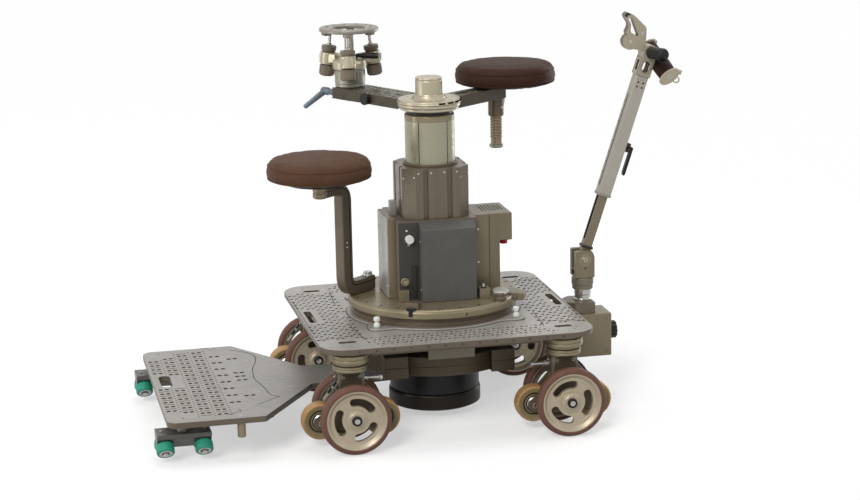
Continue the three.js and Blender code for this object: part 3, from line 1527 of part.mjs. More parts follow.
// The origin is on the floor under the middle of the whole object
dolly.updateMatrixWorld(true);
const bounds = new THREE.Box3().setFromObject(dolly, true);
dolly.position.set(-(bounds.min.x + bounds.max.x) / 2, -(bounds.min.y + bounds.max.y) / 2, -bounds.min.z);

export default dolly;
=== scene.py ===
import math
from types import SimpleNamespace as Sizes

import bmesh
import bpy
from mathutils import Matrix, Vector
from mathutils.geometry import delaunay_2d_cdt


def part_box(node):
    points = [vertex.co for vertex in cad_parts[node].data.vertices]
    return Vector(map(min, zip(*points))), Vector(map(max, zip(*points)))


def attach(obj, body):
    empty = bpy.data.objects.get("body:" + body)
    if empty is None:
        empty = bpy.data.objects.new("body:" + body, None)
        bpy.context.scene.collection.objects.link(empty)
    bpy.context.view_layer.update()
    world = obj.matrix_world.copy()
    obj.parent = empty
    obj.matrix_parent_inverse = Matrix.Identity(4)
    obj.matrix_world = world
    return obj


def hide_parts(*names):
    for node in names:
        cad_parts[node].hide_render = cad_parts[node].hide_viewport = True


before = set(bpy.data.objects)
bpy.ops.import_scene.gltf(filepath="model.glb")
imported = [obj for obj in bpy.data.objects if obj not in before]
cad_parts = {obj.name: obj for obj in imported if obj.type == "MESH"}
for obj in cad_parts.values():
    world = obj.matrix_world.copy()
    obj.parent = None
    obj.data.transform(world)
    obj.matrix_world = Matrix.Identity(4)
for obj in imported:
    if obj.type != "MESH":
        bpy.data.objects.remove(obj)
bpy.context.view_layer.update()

# Units: shapes are drawn in millimetres about the column's axis and stored in metres
MM = 0.001
TURN = 2 * math.pi
QUARTER = TURN / 4
TINY = 1e-6
ROUND = 96
SMALL_ROUND = 32
FINE_ROUND = 128
FINEST_ROUND = 160
SMOOTH_ANGLE = math.radians(32)
SHARP_ANGLE = math.radians(30)
CLEAR = 0.3
UP = (0, 0, 1)
SIDES = (-1, 1)
SIDES_AND_MIDDLE = (-1, 0, 1)
CORNERS = [(sx, sy) for sx in SIDES for sy in SIDES]

tube_low, tube_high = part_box("column_tube")
AXIS = Vector(((tube_low.x + tube_high.x) / 2, (tube_low.y + tube_high.y) / 2, 0))

# Sizes in millimetres, heights from the floor under the large wheels
deck = Sizes(
    half_length=404, half_width=391, corner=72, top=307, thickness=17,
    disc_radius=262, disc_height=5, ear_x=210, ear_y=190, ear_reach=309,
    ring_inner=150, ring_outer=245, ring_top=335.7,
    hand_slot_x=376, hand_slot_length=136, hand_slot_width=22,
    pocket_x=320, pocket_y=310, pocket_length=54, pocket_width=20, pocket_depth=10,
)
pivot = Sizes(x=317, y=325, radius=56, low=252)
rail = Sizes(half_gauge=310)
wheel = Sizes(radius=103, offset=77, axle_end=92.4)
rail_wheel = Sizes(spread=90, height=82)
table = Sizes(radius=257, top=365)
housing = Sizes(left=-128, right=112, half_width=112, top=604)
cover = Sizes(left=-63, right=102, front=-152, back=-112.3, top=582.3, back_top=600.3)
box = Sizes(left=112.3, low_right=191, right=229, near=-80, far=76, overhang=521, top=604)
sleeve = Sizes(
    half_length=101, half_width=100, chamfer=35, low=462, top=754.5, bore=74.6,
    groove=36, groove_half=7, groove_depth=9,
)
tube = Sizes(radius=74, bore=66, low=562, band_low=887, neck_low=905, flange_low=918, flange_top=928)
arm = Sizes(turn=0.3306 * TURN, low=913, top=945, half_width=57, length=392)
seat_arm = Sizes(turn=0.0987 * TURN, low=909, top=945, root=38, post_at=304)
hub = Sizes(disc_low=939.1, disc_top=949.1, clear=94.2)
head = Sizes(
    at=366, lug_middle=85, screw_reach=79, splay=0.022 * TURN, first_turn=-0.2889 * TURN, plate_low=160.7,
)
seat = Sizes(radius=154, height=64, crown=6, edge=20, draw=5)
low_arm = Sizes(
    x=-187, y=60, turn=0.6144 * TURN, post_at=110, seat_at=215, low=387.3, high=697, underside=746,
    half_depth=22, top_half_depth=14,
)
high_seat = Sizes(at=349, underside=953)
steer = Sizes(x=469, pivot_height=430, lean=0.0515 * TURN)
bar_top = 582
bar_lever = Sizes(out=28, up=362)
GRIP_RUN = Vector((0, 128, 26.5))
WHEEL_SLOTS = {-1: (math.radians(66), math.radians(20)), 1: (math.radians(-6), math.radians(80))}
belly = Sizes(ring_low=21, drum_low=71, band_low=163, band_top=222, top=289.7, band_radius=245)
platform = Sizes(
    top=131, low=113, front=850, shoulder=571, half_width=382, corner=30, taper_end=392, tongue=100,
    round_end=136,
    slot_x=812, slot_centre=40, slot_length=120, slot_width=34,
)
skate = Sizes(x=801, spread=55, side=28, rise=42, half_length=78, half_width=38, top=87, pin=15.3)


# Outlines
def polar(radius, angle, *height):
    """Point at a reach and an angle about the axis, with its height where one is given."""
    return (radius * math.cos(angle), radius * math.sin(angle), *height)


def arc(x, y, radius, start, end, steps=8):
    """Points on an arc from one angle in radians to another."""
    return [
        (x + px, y + py)
        for px, py in (polar(radius, start + (end - start) * i / steps) for i in range(steps + 1))
    ]


def circle(x, y, radius, steps=16):
    return arc(x, y, radius, 0, TURN, steps)[:-1]


def rectangle(x0, x1, y0, y1):
    return [(x0, y0), (x1, y0), (x1, y1), (x0, y1)]


def rounded_rectangle(half_x, half_y, radius, x=0, y=0, turn=0, steps=8):
    points = []
    for index, (sx, sy) in enumerate([(1, 1), (-1, 1), (-1, -1), (1, -1)]):
        start = index * QUARTER
        points += arc(sx * (half_x - radius), sy * (half_y - radius), radius, start, start + QUARTER, steps)
    c, s = math.cos(turn), math.sin(turn)
    return [(x + c * px - s * py, y + s * px + c * py) for px, py in points]


def slot(length, width, x=0, y=0, turn=0, steps=6):
    return rounded_rectangle(length / 2, width / 2, width / 2 - TINY * 100, x, y, turn, steps)


def soften(points, edge, closed=True, steps=3):
    """Rounds each corner of an outline by edge."""
    if edge <= 0:
        return list(points)
    count = len(points)
    result = []
    for i, point in enumerate(points):
        if not closed and i in (0, count - 1):
            result.append(tuple(point))
            continue
        here = Vector(point)
        before = Vector(points[i - 1]) - here
        after = Vector(points[(i + 1) % count]) - here
        if before.length < TINY or after.length < TINY:
            continue
        reach = min(edge, before.length * 0.45, after.length * 0.45)
        start = here + before.normalized() * reach
        end = here + after.normalized() * reach
        for k in range(steps + 1):
            t = k / steps
            spot = start * (1 - t) ** 2 + here * 2 * t * (1 - t) + end * t * t
            result.append((spot.x, spot.y))
    return result


def fluted(radius, depth, ribs, steps=6):
    """Round outline with ribs all round, as on a hand knob."""
    count = ribs * steps
    return [
        polar(radius - depth * (0.5 - 0.5 * math.cos(TURN * i / steps)), TURN * i / count)
        for i in range(count)
    ]


# Solids
def bevel(shape, edge, chosen=None, steps=2):
    if edge <= 0:
        return shape
    edges = [
        e for e in shape.edges
        if len(e.link_faces) == 2 and e.calc_face_angle() > SHARP_ANGLE
        and (chosen is None or all(v in chosen for v in e.verts))
    ]
    bmesh.ops.bevel(
        shape, geom=edges, offset=edge, offset_type="OFFSET", segments=steps, profile=0.5,
        affect="EDGES", clamp_overlap=chosen is None,
    )
    return shape


def reach_of(loop):
    xs, ys = [p[0] for p in loop], [p[1] for p in loop]
    return min(xs), max(xs), min(ys), max(ys)


def inside(x, y, loop, reach):
    if not (reach[0] < x < reach[1] and reach[2] < y < reach[3]):
        return False
    within = False
    for (x0, y0), (x1, y1) in zip(loop, [*loop[1:], loop[0]]):
        if (y0 > y) != (y1 > y) and x < x0 + (y - y0) * (x1 - x0) / (y1 - y0):
            within = not within
    return within


def cap_triangles(flat, sides, outline, holes):
    """Triangles that fill an outline and leave its holes open."""
    found, _, faces, origin, _, _ = delaunay_2d_cdt(flat, sides, [], 0, 1e-5)
    loops = [(loop, reach_of(loop)) for loop in holes]
    outer = (outline, reach_of(outline))
    caps = []
    for face in faces:
        x = sum(found[i].x for i in face) / len(face)
        y = sum(found[i].y for i in face) / len(face)
        if inside(x, y, *outer) and not any(inside(x, y, *loop) for loop in loops):
            caps.append([origin[i][0] for i in face])
    return caps


def prism(outline, low, high, edge=1.0, holes=(), bevel_holes=False):
    """Upright solid over an outline, with open holes through it."""
    flat, sides = [], []
    for loop in [outline, *holes]:
        start, count = len(flat), len(loop)
        flat.extend(Vector(p) for p in loop)
        sides.extend((start + i, start + (i + 1) % count) for i in range(count))
    shape = bmesh.new()
    under = [shape.verts.new((p.x, p.y, low)) for p in flat]
    over = [shape.verts.new((p.x, p.y, high)) for p in flat]
    if holes:
        caps = cap_triangles(flat, sides, outline, holes)
    else:
        caps = [list(range(len(flat)))]
    for cap in caps:
        shape.faces.new([under[i] for i in cap])
        shape.faces.new([over[i] for i in cap])
    for a, b in sides:
        shape.faces.new((under[a], under[b], over[b], over[a]))
    bmesh.ops.recalc_face_normals(shape, faces=shape.faces)
    outer = set(under[:len(outline)] + over[:len(outline)])
    return bevel(shape, edge, outer if holes and not bevel_holes else None)


def block(x0, x1, y0, y1, z0, z1, edge=1.0):
    return prism(rectangle(min(x0, x1), max(x0, x1), min(y0, y1), max(y0, y1)), z0, z1, edge)


def lathe(profile, edge=1.0, sides=ROUND):
    """Turned solid about Z from (radius, height) points, closed on itself unless it starts on the axis."""
    closed = profile[0][0] > 0
    shape = bmesh.new()
    rings = []
    for radius, height in soften(profile, edge, closed):
        if radius < TINY:
            rings.append([shape.verts.new((0, 0, height))])
        else:
            rings.append([
                shape.verts.new(polar(radius, TURN * i / sides, height))
                for i in range(sides)
            ])
    pairs = list(zip(rings, rings[1:]))
    if closed:
        pairs.append((rings[-1], rings[0]))
    for lower, upper in pairs:
        for i in range(sides):
            j = (i + 1) % sides
            corners = [lower[i % len(lower)], lower[j % len(lower)], upper[j % len(upper)], upper[i % len(upper)]]
            corners = list(dict.fromkeys(corners))
            if len(corners) > 2:
                shape.faces.new(corners)
    bmesh.ops.recalc_face_normals(shape, faces=shape.faces)
    return shape


def rod(radius, length, edge=1.0, sides=SMALL_ROUND):
    return lathe([(0, 0), (radius, 0), (radius, length), (0, length)], edge, sides)


def aim(point, direction):
    """Matrix that puts Z along a direction from a point."""
    turn = Vector(direction).to_track_quat("Z", "Y").to_matrix().to_4x4()
    return Matrix.Translation(point) @ turn


def bar(start, end, radius, end_radius=None, edge=1.0, sides=SMALL_ROUND):
    run = Vector(end) - Vector(start)
    tip = radius if end_radius is None else end_radius
    shape = lathe([(0, 0), (radius, 0), (tip, run.length), (0, run.length)], edge, sides)
    shape.transform(aim(start, run))
    return shape


def along_y(outline, y0, y1, edge=1.0, holes=(), bevel_holes=False):
    """Solid over an outline in X and Z, between two places across."""
    shape = prism(outline, y0, y1, edge, holes, bevel_holes)
    shape.transform(Matrix(((1, 0, 0, 0), (0, 0, 1, 0), (0, 1, 0, 0), (0, 0, 0, 1))))
    bmesh.ops.recalc_face_normals(shape, faces=shape.faces)
    return shape


def along_x(outline, x0, x1, edge=1.0, holes=(), bevel_holes=False):
    """Solid over an outline in Y and Z, between two places along."""
    shape = prism(outline, x0, x1, edge, holes, bevel_holes)
    shape.transform(Matrix(((0, 0, 1, 0), (1, 0, 0, 0), (0, 1, 0, 0), (0, 0, 0, 1))))
    bmesh.ops.recalc_face_normals(shape, faces=shape.faces)
    return shape


def moved(shape, x=0, y=0, z=0, turn=0):
    shape.transform(Matrix.Translation((x, y, z)) @ Matrix.Rotation(turn, 4, "Z"))
    return shape


class Piece:
    """Shapes joined into one object that rides on a body and stands for its solids."""

    def __init__(self, name, body, nodes, slot_name, at=None):
        self.name, self.body, self.nodes, self.slot_name = name, body, nodes, slot_name
        self.at = at.copy() if at else Matrix()
        self.mesh = bmesh.new()
        self.materials = []

    def index_of(self, material):
        if material not in self.materials:
            self.materials.append(material)
        return self.materials.index(material)

    def add(self, shape, material, shaded_side_material=None, axis=2, at=None):
        """Joins a shape on, placed by a matrix; faces turned away from an axis may take their own, darker material, as
        painted shade.
        """
        if at:
            shape.transform(at)
        broad, shaded_side_index = self.index_of(material), self.index_of(shaded_side_material or material)
        for face in shape.faces:
            face.material_index = shaded_side_index if abs(face.normal[axis]) < 0.5 else broad
        carrier = bpy.data.meshes.new("carrier")
        shape.to_mesh(carrier)
        shape.free()
        self.mesh.from_mesh(carrier)
        bpy.data.meshes.remove(carrier)
        return self

    def bolt(self, point, direction, radius, height, material):
        """Socket-head bolt standing on a point."""
        socket = radius * 0.5
        depth = min(height * 0.6, radius * 0.8)
        floor = height - depth
        profile = [(0, floor), (socket, floor), (socket, height), (radius, height), (radius, 0), (0, 0)]
        self.add(lathe(profile, radius * 0.12, 24), material, at=aim(point, direction))

    def bolt_circle(self, count, reach, top, radius, height, material, first=0.5):
        """Bolts spread evenly round the axis."""
        for i in range(count):
            self.bolt(polar(reach, TURN * (i + first) / count, top), UP, radius, height, material)

    def build(self):
        self.mesh.transform(Matrix.Scale(MM, 4))
        data = bpy.data.meshes.new(self.name)
        self.mesh.to_mesh(data)
        self.mesh.free()
        for material in self.materials:
            data.materials.append(material)
        data.shade_smooth()
        data.set_sharp_from_angle(angle=SMOOTH_ANGLE)
        piece = bpy.data.objects.new(self.name, data)
        bpy.context.scene.collection.objects.link(piece)
        self.at.translation = AXIS + self.at.translation * MM
        piece.matrix_world = self.at
        even = piece.modifiers.new("even_shading", "WEIGHTED_NORMAL")
        even.keep_sharp = True
        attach(piece, self.body)
        if self.nodes:
            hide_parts(*self.nodes)
        return piece


# Materials
def linear(rgb):
    """Screen colour from 0 to 255 as the linear colour that the shader takes."""
    parts = [c / 255 for c in rgb]
    return [c / 12.92 if c <= 0.04045 else ((c + 0.055) / 1.055) ** 2.4 for c in parts] + [1]


def scaled_colour(colour, factor):
    return [min(1, c * factor) for c in colour[:3]] + [1]


class Shader:
    """A node material, its nodes added by kind."""

    def __init__(self, name, metallic=0.0, **fixed):
        self.material = bpy.data.materials.new(name)
        self.material.use_nodes = True
        self.tree = self.material.node_tree
        self.surface = self.tree.nodes["Principled BSDF"]
        self.surface.inputs["Metallic"].default_value = metallic
        for key, value in fixed.items():
            self.surface.inputs[key.replace("_", " ")].default_value = value
        self.place = self.node("ShaderNodeTexCoord").outputs["Object"]

    def node(self, kind, inputs=None, **settings):
        made = self.tree.nodes.new(kind)
        for key, value in settings.items():
            setattr(made, key, value)
        for key, value in (inputs or {}).items():
            if isinstance(value, bpy.types.NodeSocket):
                self.tree.links.new(value, made.inputs[key])
            else:
                made.inputs[key].default_value = value
        return made

    def give(self, name, socket):
        self.tree.links.new(socket, self.surface.inputs[name])

    def noise(self, scale, detail=3, vector=None, roughness=0.55):
        return self.node(
            "ShaderNodeTexNoise",
            {"Vector": vector or self.place, "Scale": scale, "Detail": detail, "Roughness": roughness},
        ).outputs["Fac"]

    def stretched(self, stretch):
        return self.node("ShaderNodeMapping", {"Vector": self.place, "Scale": stretch}).outputs["Vector"]

    def turned_place(self):
        """Place by distance from the piece's own axis and by height, for turning marks."""
        split = self.node("ShaderNodeSeparateXYZ", {"Vector": self.place})
        flat = self.node("ShaderNodeCombineXYZ", {"X": split.outputs["X"], "Y": split.outputs["Y"]})
        reach = self.node("ShaderNodeVectorMath", {0: flat.outputs["Vector"]}, operation="LENGTH")
        return self.node(
            "ShaderNodeCombineXYZ", {"X": reach.outputs["Value"], "Z": split.outputs["Z"]},
        ).outputs["Vector"]

    def ramp(self, factor, stops):
        made = self.node("ShaderNodeValToRGB", {"Fac": factor})
        elements = made.color_ramp.elements
        while len(elements) < len(stops):
            elements.new(0.5)
        for element, (position, colour) in zip(elements, stops):
            element.position = position
            element.color = colour
        return made.outputs["Color"]

    def mix(self, factor, first, second):
        made = self.node("ShaderNodeMix", data_type="RGBA")
        for index, value in ((0, factor), (6, first), (7, second)):
            if isinstance(value, bpy.types.NodeSocket):
                self.tree.links.new(value, made.inputs[index])
            else:
                made.inputs[index].default_value = value
        return made.outputs[2]

    def range(self, value, low, high, to_low, to_high):
        return self.node(
            "ShaderNodeMapRange",
            {"Value": value, "From Min": low, "From Max": high, "To Min": to_low, "To Max": to_high},
        ).outputs["Result"]

    def bump(self, height, strength, distance):
        return self.node(
            "ShaderNodeBump", {"Height": height, "Strength": strength, "Distance": distance},
        ).outputs["Normal"]


def metal(
    name, rgb, roughness, metallic=0.35, grain=0.12, mark_scale=700, mottle=0.1, wear=0.3,
    marks="fine", stretch=(1, 1, 1), specular=0.35, streaks_and_light_bands=0.14,
):
    """Anodised or bare metal: cloudy tone, fine machining marks, which a coarse upright stretch turns into painted
    bands of reflection and shade, and lighter worn edges.
    """
    s = Shader(name, metallic, Specular_IOR_Level=specular)
    base = linear(rgb)
    cloud = s.noise(7, 5)
    vector = s.turned_place() if marks == "turned" else s.stretched(stretch)
    fine = s.noise(mark_scale, 2, vector)
    tone = s.ramp(cloud, [(0.3, scaled_colour(base, 1 - mottle)), (0.7, scaled_colour(base, 1 + mottle))])
    streak_and_light_band = s.ramp(fine, [(0.3, scaled_colour(base, 1 - streaks_and_light_bands)), (0.7, scaled_colour(base, 1 + streaks_and_light_bands))])
    colour = s.mix(0.4, tone, streak_and_light_band)
    point = s.node("ShaderNodeNewGeometry").outputs["Pointiness"]
    worn = s.range(point, 0.515, 0.6, 0, wear)
    spots = s.range(s.noise(90, 4), 0.35, 0.65, 0.4, 1)
    share = s.node("ShaderNodeMath", {0: worn, 1: spots}, operation="MULTIPLY").outputs["Value"]
    s.give("Base Color", s.mix(share, colour, scaled_colour(base, 1.7)))
    s.give("Roughness", s.range(s.noise(40, 4), 0.3, 0.7, roughness - 0.06, roughness + 0.08))
    s.give("Normal", s.bump(fine, grain, 0.0003))
    return s.material


def plastic(name, rgb, roughness, grain=0.15, mark_scale=1200, mottle=0.08, marks="fine", specular=0.25):
    """Moulded plastic, rubber or paint: faint mottling and a fine moulded grain."""
    s = Shader(name, Specular_IOR_Level=specular)
    base = linear(rgb)
    cloud = s.noise(25, 4)
    fine = s.noise(mark_scale, 2, s.turned_place() if marks == "turned" else None)
    tone = s.ramp(cloud, [(0.3, scaled_colour(base, 1 - mottle)), (0.7, scaled_colour(base, 1 + mottle))])
    point = s.node("ShaderNodeNewGeometry").outputs["Pointiness"]
    s.give("Base Color", s.mix(s.range(point, 0.52, 0.62, 0, 0.3), tone, scaled_colour(base, 1.5)))
    s.give("Roughness", s.range(cloud, 0.3, 0.7, roughness - 0.05, roughness + 0.07))
    s.give("Normal", s.bump(fine, grain, 0.0003))
    return s.material


def leather(name, rgb, cell=520, strength=0.35):
    """Grained leather: small cells with creases between them, and slow changes of tone."""
    s = Shader(name, Specular_IOR_Level=0.1)
    base = linear(rgb)
    warp = s.noise(130, 3)
    cells = s.node(
        "ShaderNodeTexVoronoi", {"Vector": s.place, "Scale": cell, "Randomness": 0.9}, feature="DISTANCE_TO_EDGE",
    ).outputs["Distance"]
    crease = s.range(cells, 0.0, 0.16, 0, 1)
    tone = s.ramp(s.noise(11, 4), [(0.3, scaled_colour(base, 0.88)), (0.7, scaled_colour(base, 1.14))])
    s.give("Base Color", s.mix(s.range(crease, 0, 1, 0.3, 0), tone, scaled_colour(base, 0.45)))
    s.give("Roughness", s.range(warp, 0.3, 0.7, 0.5, 0.62))
    height = s.node("ShaderNodeMath", {0: crease, 1: warp}, operation="ADD").outputs["Value"]
    s.give("Normal", s.bump(height, strength, 0.0004))
    return s.material


DECK = metal("deck_metal", (156, 152, 147), 0.4, 0.4, mark_scale=900, mottle=0.06, stretch=(1, 0.2, 1))
PLATE = metal("platform_metal", (144, 140, 135), 0.38, 0.4, mark_scale=900, mottle=0.08, stretch=(1, 0.2, 1))
# Darker brown for the side faces of the deck and the platform: painted shade on faces turned away from the top light
SHADED_EDGE_BROWN = metal("deck_edge_painted_shade", (96, 88, 76), 0.4, 0.3, specular=0.25)
BRONZE = metal("bronze_metal", (116, 106, 87), 0.38)
BRONZE_TURNED = metal("bronze_turned", (132, 121, 98), 0.32, 0.45, marks="turned", grain=0.2)
PALE_BRONZE = metal("pale_bronze_turned", (174, 165, 144), 0.34, 0.6, marks="turned", grain=0.2)
# Bronze darkened for the parts under the deck: painted shade from the deck above
UNDER_DECK_SHADE_BRONZE = metal("bronze_turned_under_deck_shade", (76, 67, 53), 0.4, 0.3, marks="turned", specular=0.25)
BLUE_STEEL = metal("bowl_metal", (150, 147, 135), 0.34, 0.45, marks="turned")
# Coarse upright bands of light and dark on the sleeve and the control box: painted reflections and shade
PAINTED_LIGHT_BANDS = (1, 1, 0.02)
SLEEVE_BROWN = metal("sleeve_painted_reflections_metal", (100, 91, 77), 0.34, 0.45, mark_scale=90, stretch=PAINTED_LIGHT_BANDS, streaks_and_light_bands=0.3)
BOX_BRONZE = metal("control_box_painted_bands_metal", (114, 105, 86), 0.36, 0.4, mark_scale=70, stretch=PAINTED_LIGHT_BANDS, streaks_and_light_bands=0.2)
OLIVE = metal("olive_metal", (112, 107, 92), 0.42)
BROWN = metal("brown_metal", (98, 88, 74), 0.4)
BROWN_TURNED = metal("brown_turned", (92, 80, 65), 0.38, marks="turned")
TUBE = metal("tube_metal", (154, 151, 130), 0.3, 0.45, marks="turned", grain=0.06, mottle=0.03, wear=0.1)
SIDE_GREY = metal("side_panel_metal", (160, 157, 152), 0.42, 0.4)
ARM_TOP = metal("arm_metal", (88, 83, 72), 0.42)
# Darker copy of the arm metal for the arms' side faces: painted shade
ARM_SIDE_SHADE = metal("arm_side_painted_shade", (68, 61, 49), 0.4)
SILVER = metal("silver_metal", (138, 133, 124), 0.36, 0.5)
PALE_SILVER = metal("handle_metal", (160, 151, 132), 0.34, 0.45)
SILVER_BAR = metal("bar_metal", (158, 153, 143), 0.38, 0.45, stretch=(1, 1, 0.05))
STEEL = metal("bright_steel", (172, 170, 165), 0.2, 0.85, grain=0.05, wear=0.1)
WHEEL_FACE = metal("wheel_face_metal", (166, 154, 133), 0.38, 0.4, marks="turned", grain=0.25)
DARK_STEEL = metal("dark_steel", (52, 49, 45), 0.4, 0.4, specular=0.2)
LEVER_BLUE = metal("lever_metal", (104, 116, 124), 0.4)
SKATE_GREY = metal("skate_metal", (84, 81, 77), 0.36, 0.45)
KNURL = metal("knob_metal", (108, 98, 84), 0.4)
COVER = plastic("cover_paint", (84, 83, 80), 0.42, grain=0.3, mark_scale=1500)
PANEL = plastic("panel_paint", (60, 58, 54), 0.42, grain=0.3, mark_scale=1500)
BLACK = plastic("black_plastic", (24, 23, 22), 0.42)
DRUM = plastic("drum_paint", (20, 19, 18), 0.35, grain=0.1)
DRUM_RING = metal("drum_ring_metal", (38, 31, 25), 0.38, 0.3, marks="turned", specular=0.2)
# Near-black for painted shade: strips, blocks and sheets that stand for the shade in grooves, seams, windows and holes
SHADE = plastic("painted_recess_shade", (10, 9, 8), 0.8, specular=0.05)
TYRE = plastic("tyre_rubber", (98, 68, 57), 0.55, grain=0.3, mottle=0.16, marks="turned")
AMBER = plastic("amber_tread", (168, 131, 86), 0.45, grain=0.15, mottle=0.12, marks="turned")
RAIL_FACE = plastic("rail_wheel_face", (130, 118, 86), 0.5, grain=0.2, marks="turned")
GREEN = plastic("green_roller", (40, 136, 112), 0.42, mottle=0.1, marks="turned")
WHITE = plastic("white_plastic", (215, 215, 211), 0.35, mottle=0.03)
RED = plastic("red_plastic", (196, 18, 30), 0.35)
LOW_LEATHER = leather("low_seat_leather", (85, 60, 45))
HIGH_LEATHER = leather("high_seat_leather", (56, 36, 26))
GRIP_LEATHER = leather("grip_leather", (34, 13, 10), cell=700)
STITCH = plastic("seam_thread", (70, 50, 40), 0.7, grain=0.4, specular=0.1)


# Deck
def eared_disc():
    """Round base plate that flares out to an ear at each corner."""
    steps = 288
    half = math.radians(13)
    places = [math.atan2(sy * deck.ear_y, sx * deck.ear_x) for sx, sy in CORNERS]
    points = []
    for i in range(steps):
        angle = TURN * i / steps
        off = min(abs((angle - place + math.pi) % TURN - math.pi) for place in places)
        t = max(0, 1 - off / half)
        radius = deck.disc_radius + (deck.ear_reach - deck.disc_radius) * t * t * (3 - 2 * t)
        points.append(polar(radius, angle))
    return points


def pair(x, y, radius, spread, along_x_axis=True):
    """Two small round holes side by side."""
    if along_x_axis:
        return [circle(x - spread, y, radius, 10), circle(x + spread, y, radius, 10)]
    return [circle(x, y - spread, radius, 10), circle(x, y + spread, radius, 10)]


def clear_of(x, y, radius, margin, spots):
    return all(math.hypot(x - sx, y - sy) > radius + margin + sr for sx, sy, sr in spots)


def deck_holes():
    """All the deck's holes, and the hand slots among them again for the black sheet of painted shade under the holes.
    """
    hand_slots, pockets, pairs, dots = [], [], [], []
    keep_off = [(0, 0, deck.disc_radius)]
    for sx in SIDES:
        hand_slots.append(slot(deck.hand_slot_length, deck.hand_slot_width, sx * deck.hand_slot_x, 0, QUARTER))
        keep_off += [(sx * deck.hand_slot_x, step * 22, 14) for step in range(-3, 4)]
        for sy in SIDES:
            x, y = sx * deck.pocket_x, sy * deck.pocket_y
            pockets.append(slot(deck.pocket_length, deck.pocket_width, x, y))
            keep_off += [(x + step * 20, y, 14) for step in (-1, 0, 1)]
            keep_off.append((sx * deck.ear_x, sy * deck.ear_y, 46))
    placed = []

    def place_pair(x, y, radius, spread):
        if clear_of(x, y, radius + spread, 3, keep_off) and clear_of(x, y, radius + spread, 1, placed):
            pairs.extend(pair(x, y, radius, spread))
            placed.append((x, y, radius + spread))

    def place_dot(x, y, radius):
        if clear_of(x, y, radius, 4, keep_off) and clear_of(x, y, radius, 1, placed):
            dots.append(circle(x, y, radius, 8))
            placed.append((x, y, radius))

    rows = [row * 38 for row in range(-7, 8)]
    for sx in SIDES:
        for column in range(5):
            shift = 19 if column % 2 else 0
            for y in rows:
                if abs(y + shift) < 296:
                    place_pair(sx * (388 - column * 28), y + shift, 5.6, 7.6)
        for column in range(5):
            shift = 19 if column % 2 else 0
            for y in rows:
                if abs(y + shift + 19) < 296:
                    place_dot(sx * (388 - column * 28), y + shift + 19, 3.2)
    for sy in SIDES:
        for row, y in enumerate((374, 351, 328, 305, 282)):
            for column in range(-6, 7):
                x = column * 42 + (21 if row % 2 else 0)
                if row and abs(x) < 276:
                    place_pair(x, sy * y, 5, 7.4)
                if abs(x) < 276:
                    place_dot(x + 21, sy * y, 3)
    return hand_slots + pockets + pairs + dots, hand_slots


def shaded_groove_line(piece, points, low, width=1.6, height=0.25, material=None):
    """Thin dark strip laid on a surface along points: painted shade for an engraved line."""
    for (x0, y0), (x1, y1) in zip(points, points[1:]):
        length = math.hypot(x1 - x0, y1 - y0)
        strip = prism(rectangle(-width / 2, length + width / 2, -width / 2, width / 2), low, low + height, 0)
        piece.add(moved(strip, x0, y0, 0, math.atan2(y1 - y0, x1 - x0)), material or SHADE)


def corner_tower(piece, x, y):
    profile = [
        (0, pivot.low), (50, pivot.low), (50, 257), (pivot.radius, 259), (pivot.radius, 268), (54, 269.5),
        (pivot.radius, 271), (pivot.radius, 281), (46, 282), (46, 290), (0, 290),
    ]
    piece.add(moved(lathe(profile, 1.2), x, y), BRONZE_TURNED)


def ear_knob(piece, x, y, low):
    profile = [
        (0, 0), (7.5, 0), (9.6, 3), (9.6, 10), (6.4, 14), (5, 16), (6.4, 18), (9.6, 20.5), (9.6, 29), (7.5, 32),
        (0, 32),
    ]
    piece.add(moved(lathe(profile, 1.6, 40), x, y, low), WHITE)


def deck_plate(piece, bottom):
    outline = rounded_rectangle(deck.half_length, deck.half_width, deck.corner, steps=16)
    holes, hand_slots = deck_holes()
    piece.add(prism(outline, bottom, deck.top, 2.2, holes), DECK, SHADED_EDGE_BROWN)
    # Black sheet under the plate that darkens the holes: painted shade
    shade_sheet = rounded_rectangle(deck.half_length - 8, deck.half_width - 8, deck.corner, steps=8)
    piece.add(prism(shade_sheet, bottom + 0.4, bottom + 2, 0, hand_slots), SHADE)


def base_plate(piece, disc_top):
    """Eared plate on the deck, and the ring that carries the turntable."""
    piece.add(prism(eared_disc(), deck.top, disc_top, 1.4), DECK)
    inner, outer = deck.ring_inner, deck.ring_outer
    ring = [
        (inner, disc_top), (outer + 5, disc_top), (outer + 5, disc_top + 3), (outer, disc_top + 4),
        (outer, disc_top + 13), (outer - 4, disc_top + 14), (outer - 4, deck.ring_top), (inner, deck.ring_top),
    ]
    piece.add(lathe(ring, 1, FINEST_ROUND), BROWN_TURNED)


def deck_corner(piece, sx, sy, bottom, disc_top):
    """Pocket, seam line of painted shade, knob, pivot housing and bolts at one corner."""
    x, y = sx * deck.pocket_x, sy * deck.pocket_y
    piece.add(block(x - 30, x + 30, y - 13, y + 13, bottom - 0.5, deck.top - deck.pocket_depth, 0.5), BROWN)
    shaded_groove_line(piece, [(sx * 262, sy * 232), (sx * 392, sy * 268)], deck.top)
    ear_knob(piece, sx * deck.ear_x, sy * deck.ear_y, disc_top)
    corner_tower(piece, sx * pivot.x, sy * pivot.y)
    for step in SIDES_AND_MIDDLE:
        spot_x, spot_y = polar(38, math.atan2(sy, sx) + math.radians(40 * step))
        piece.bolt((sx * pivot.x + spot_x, sy * pivot.y + spot_y, deck.top), UP, 5, 0.8, STEEL)


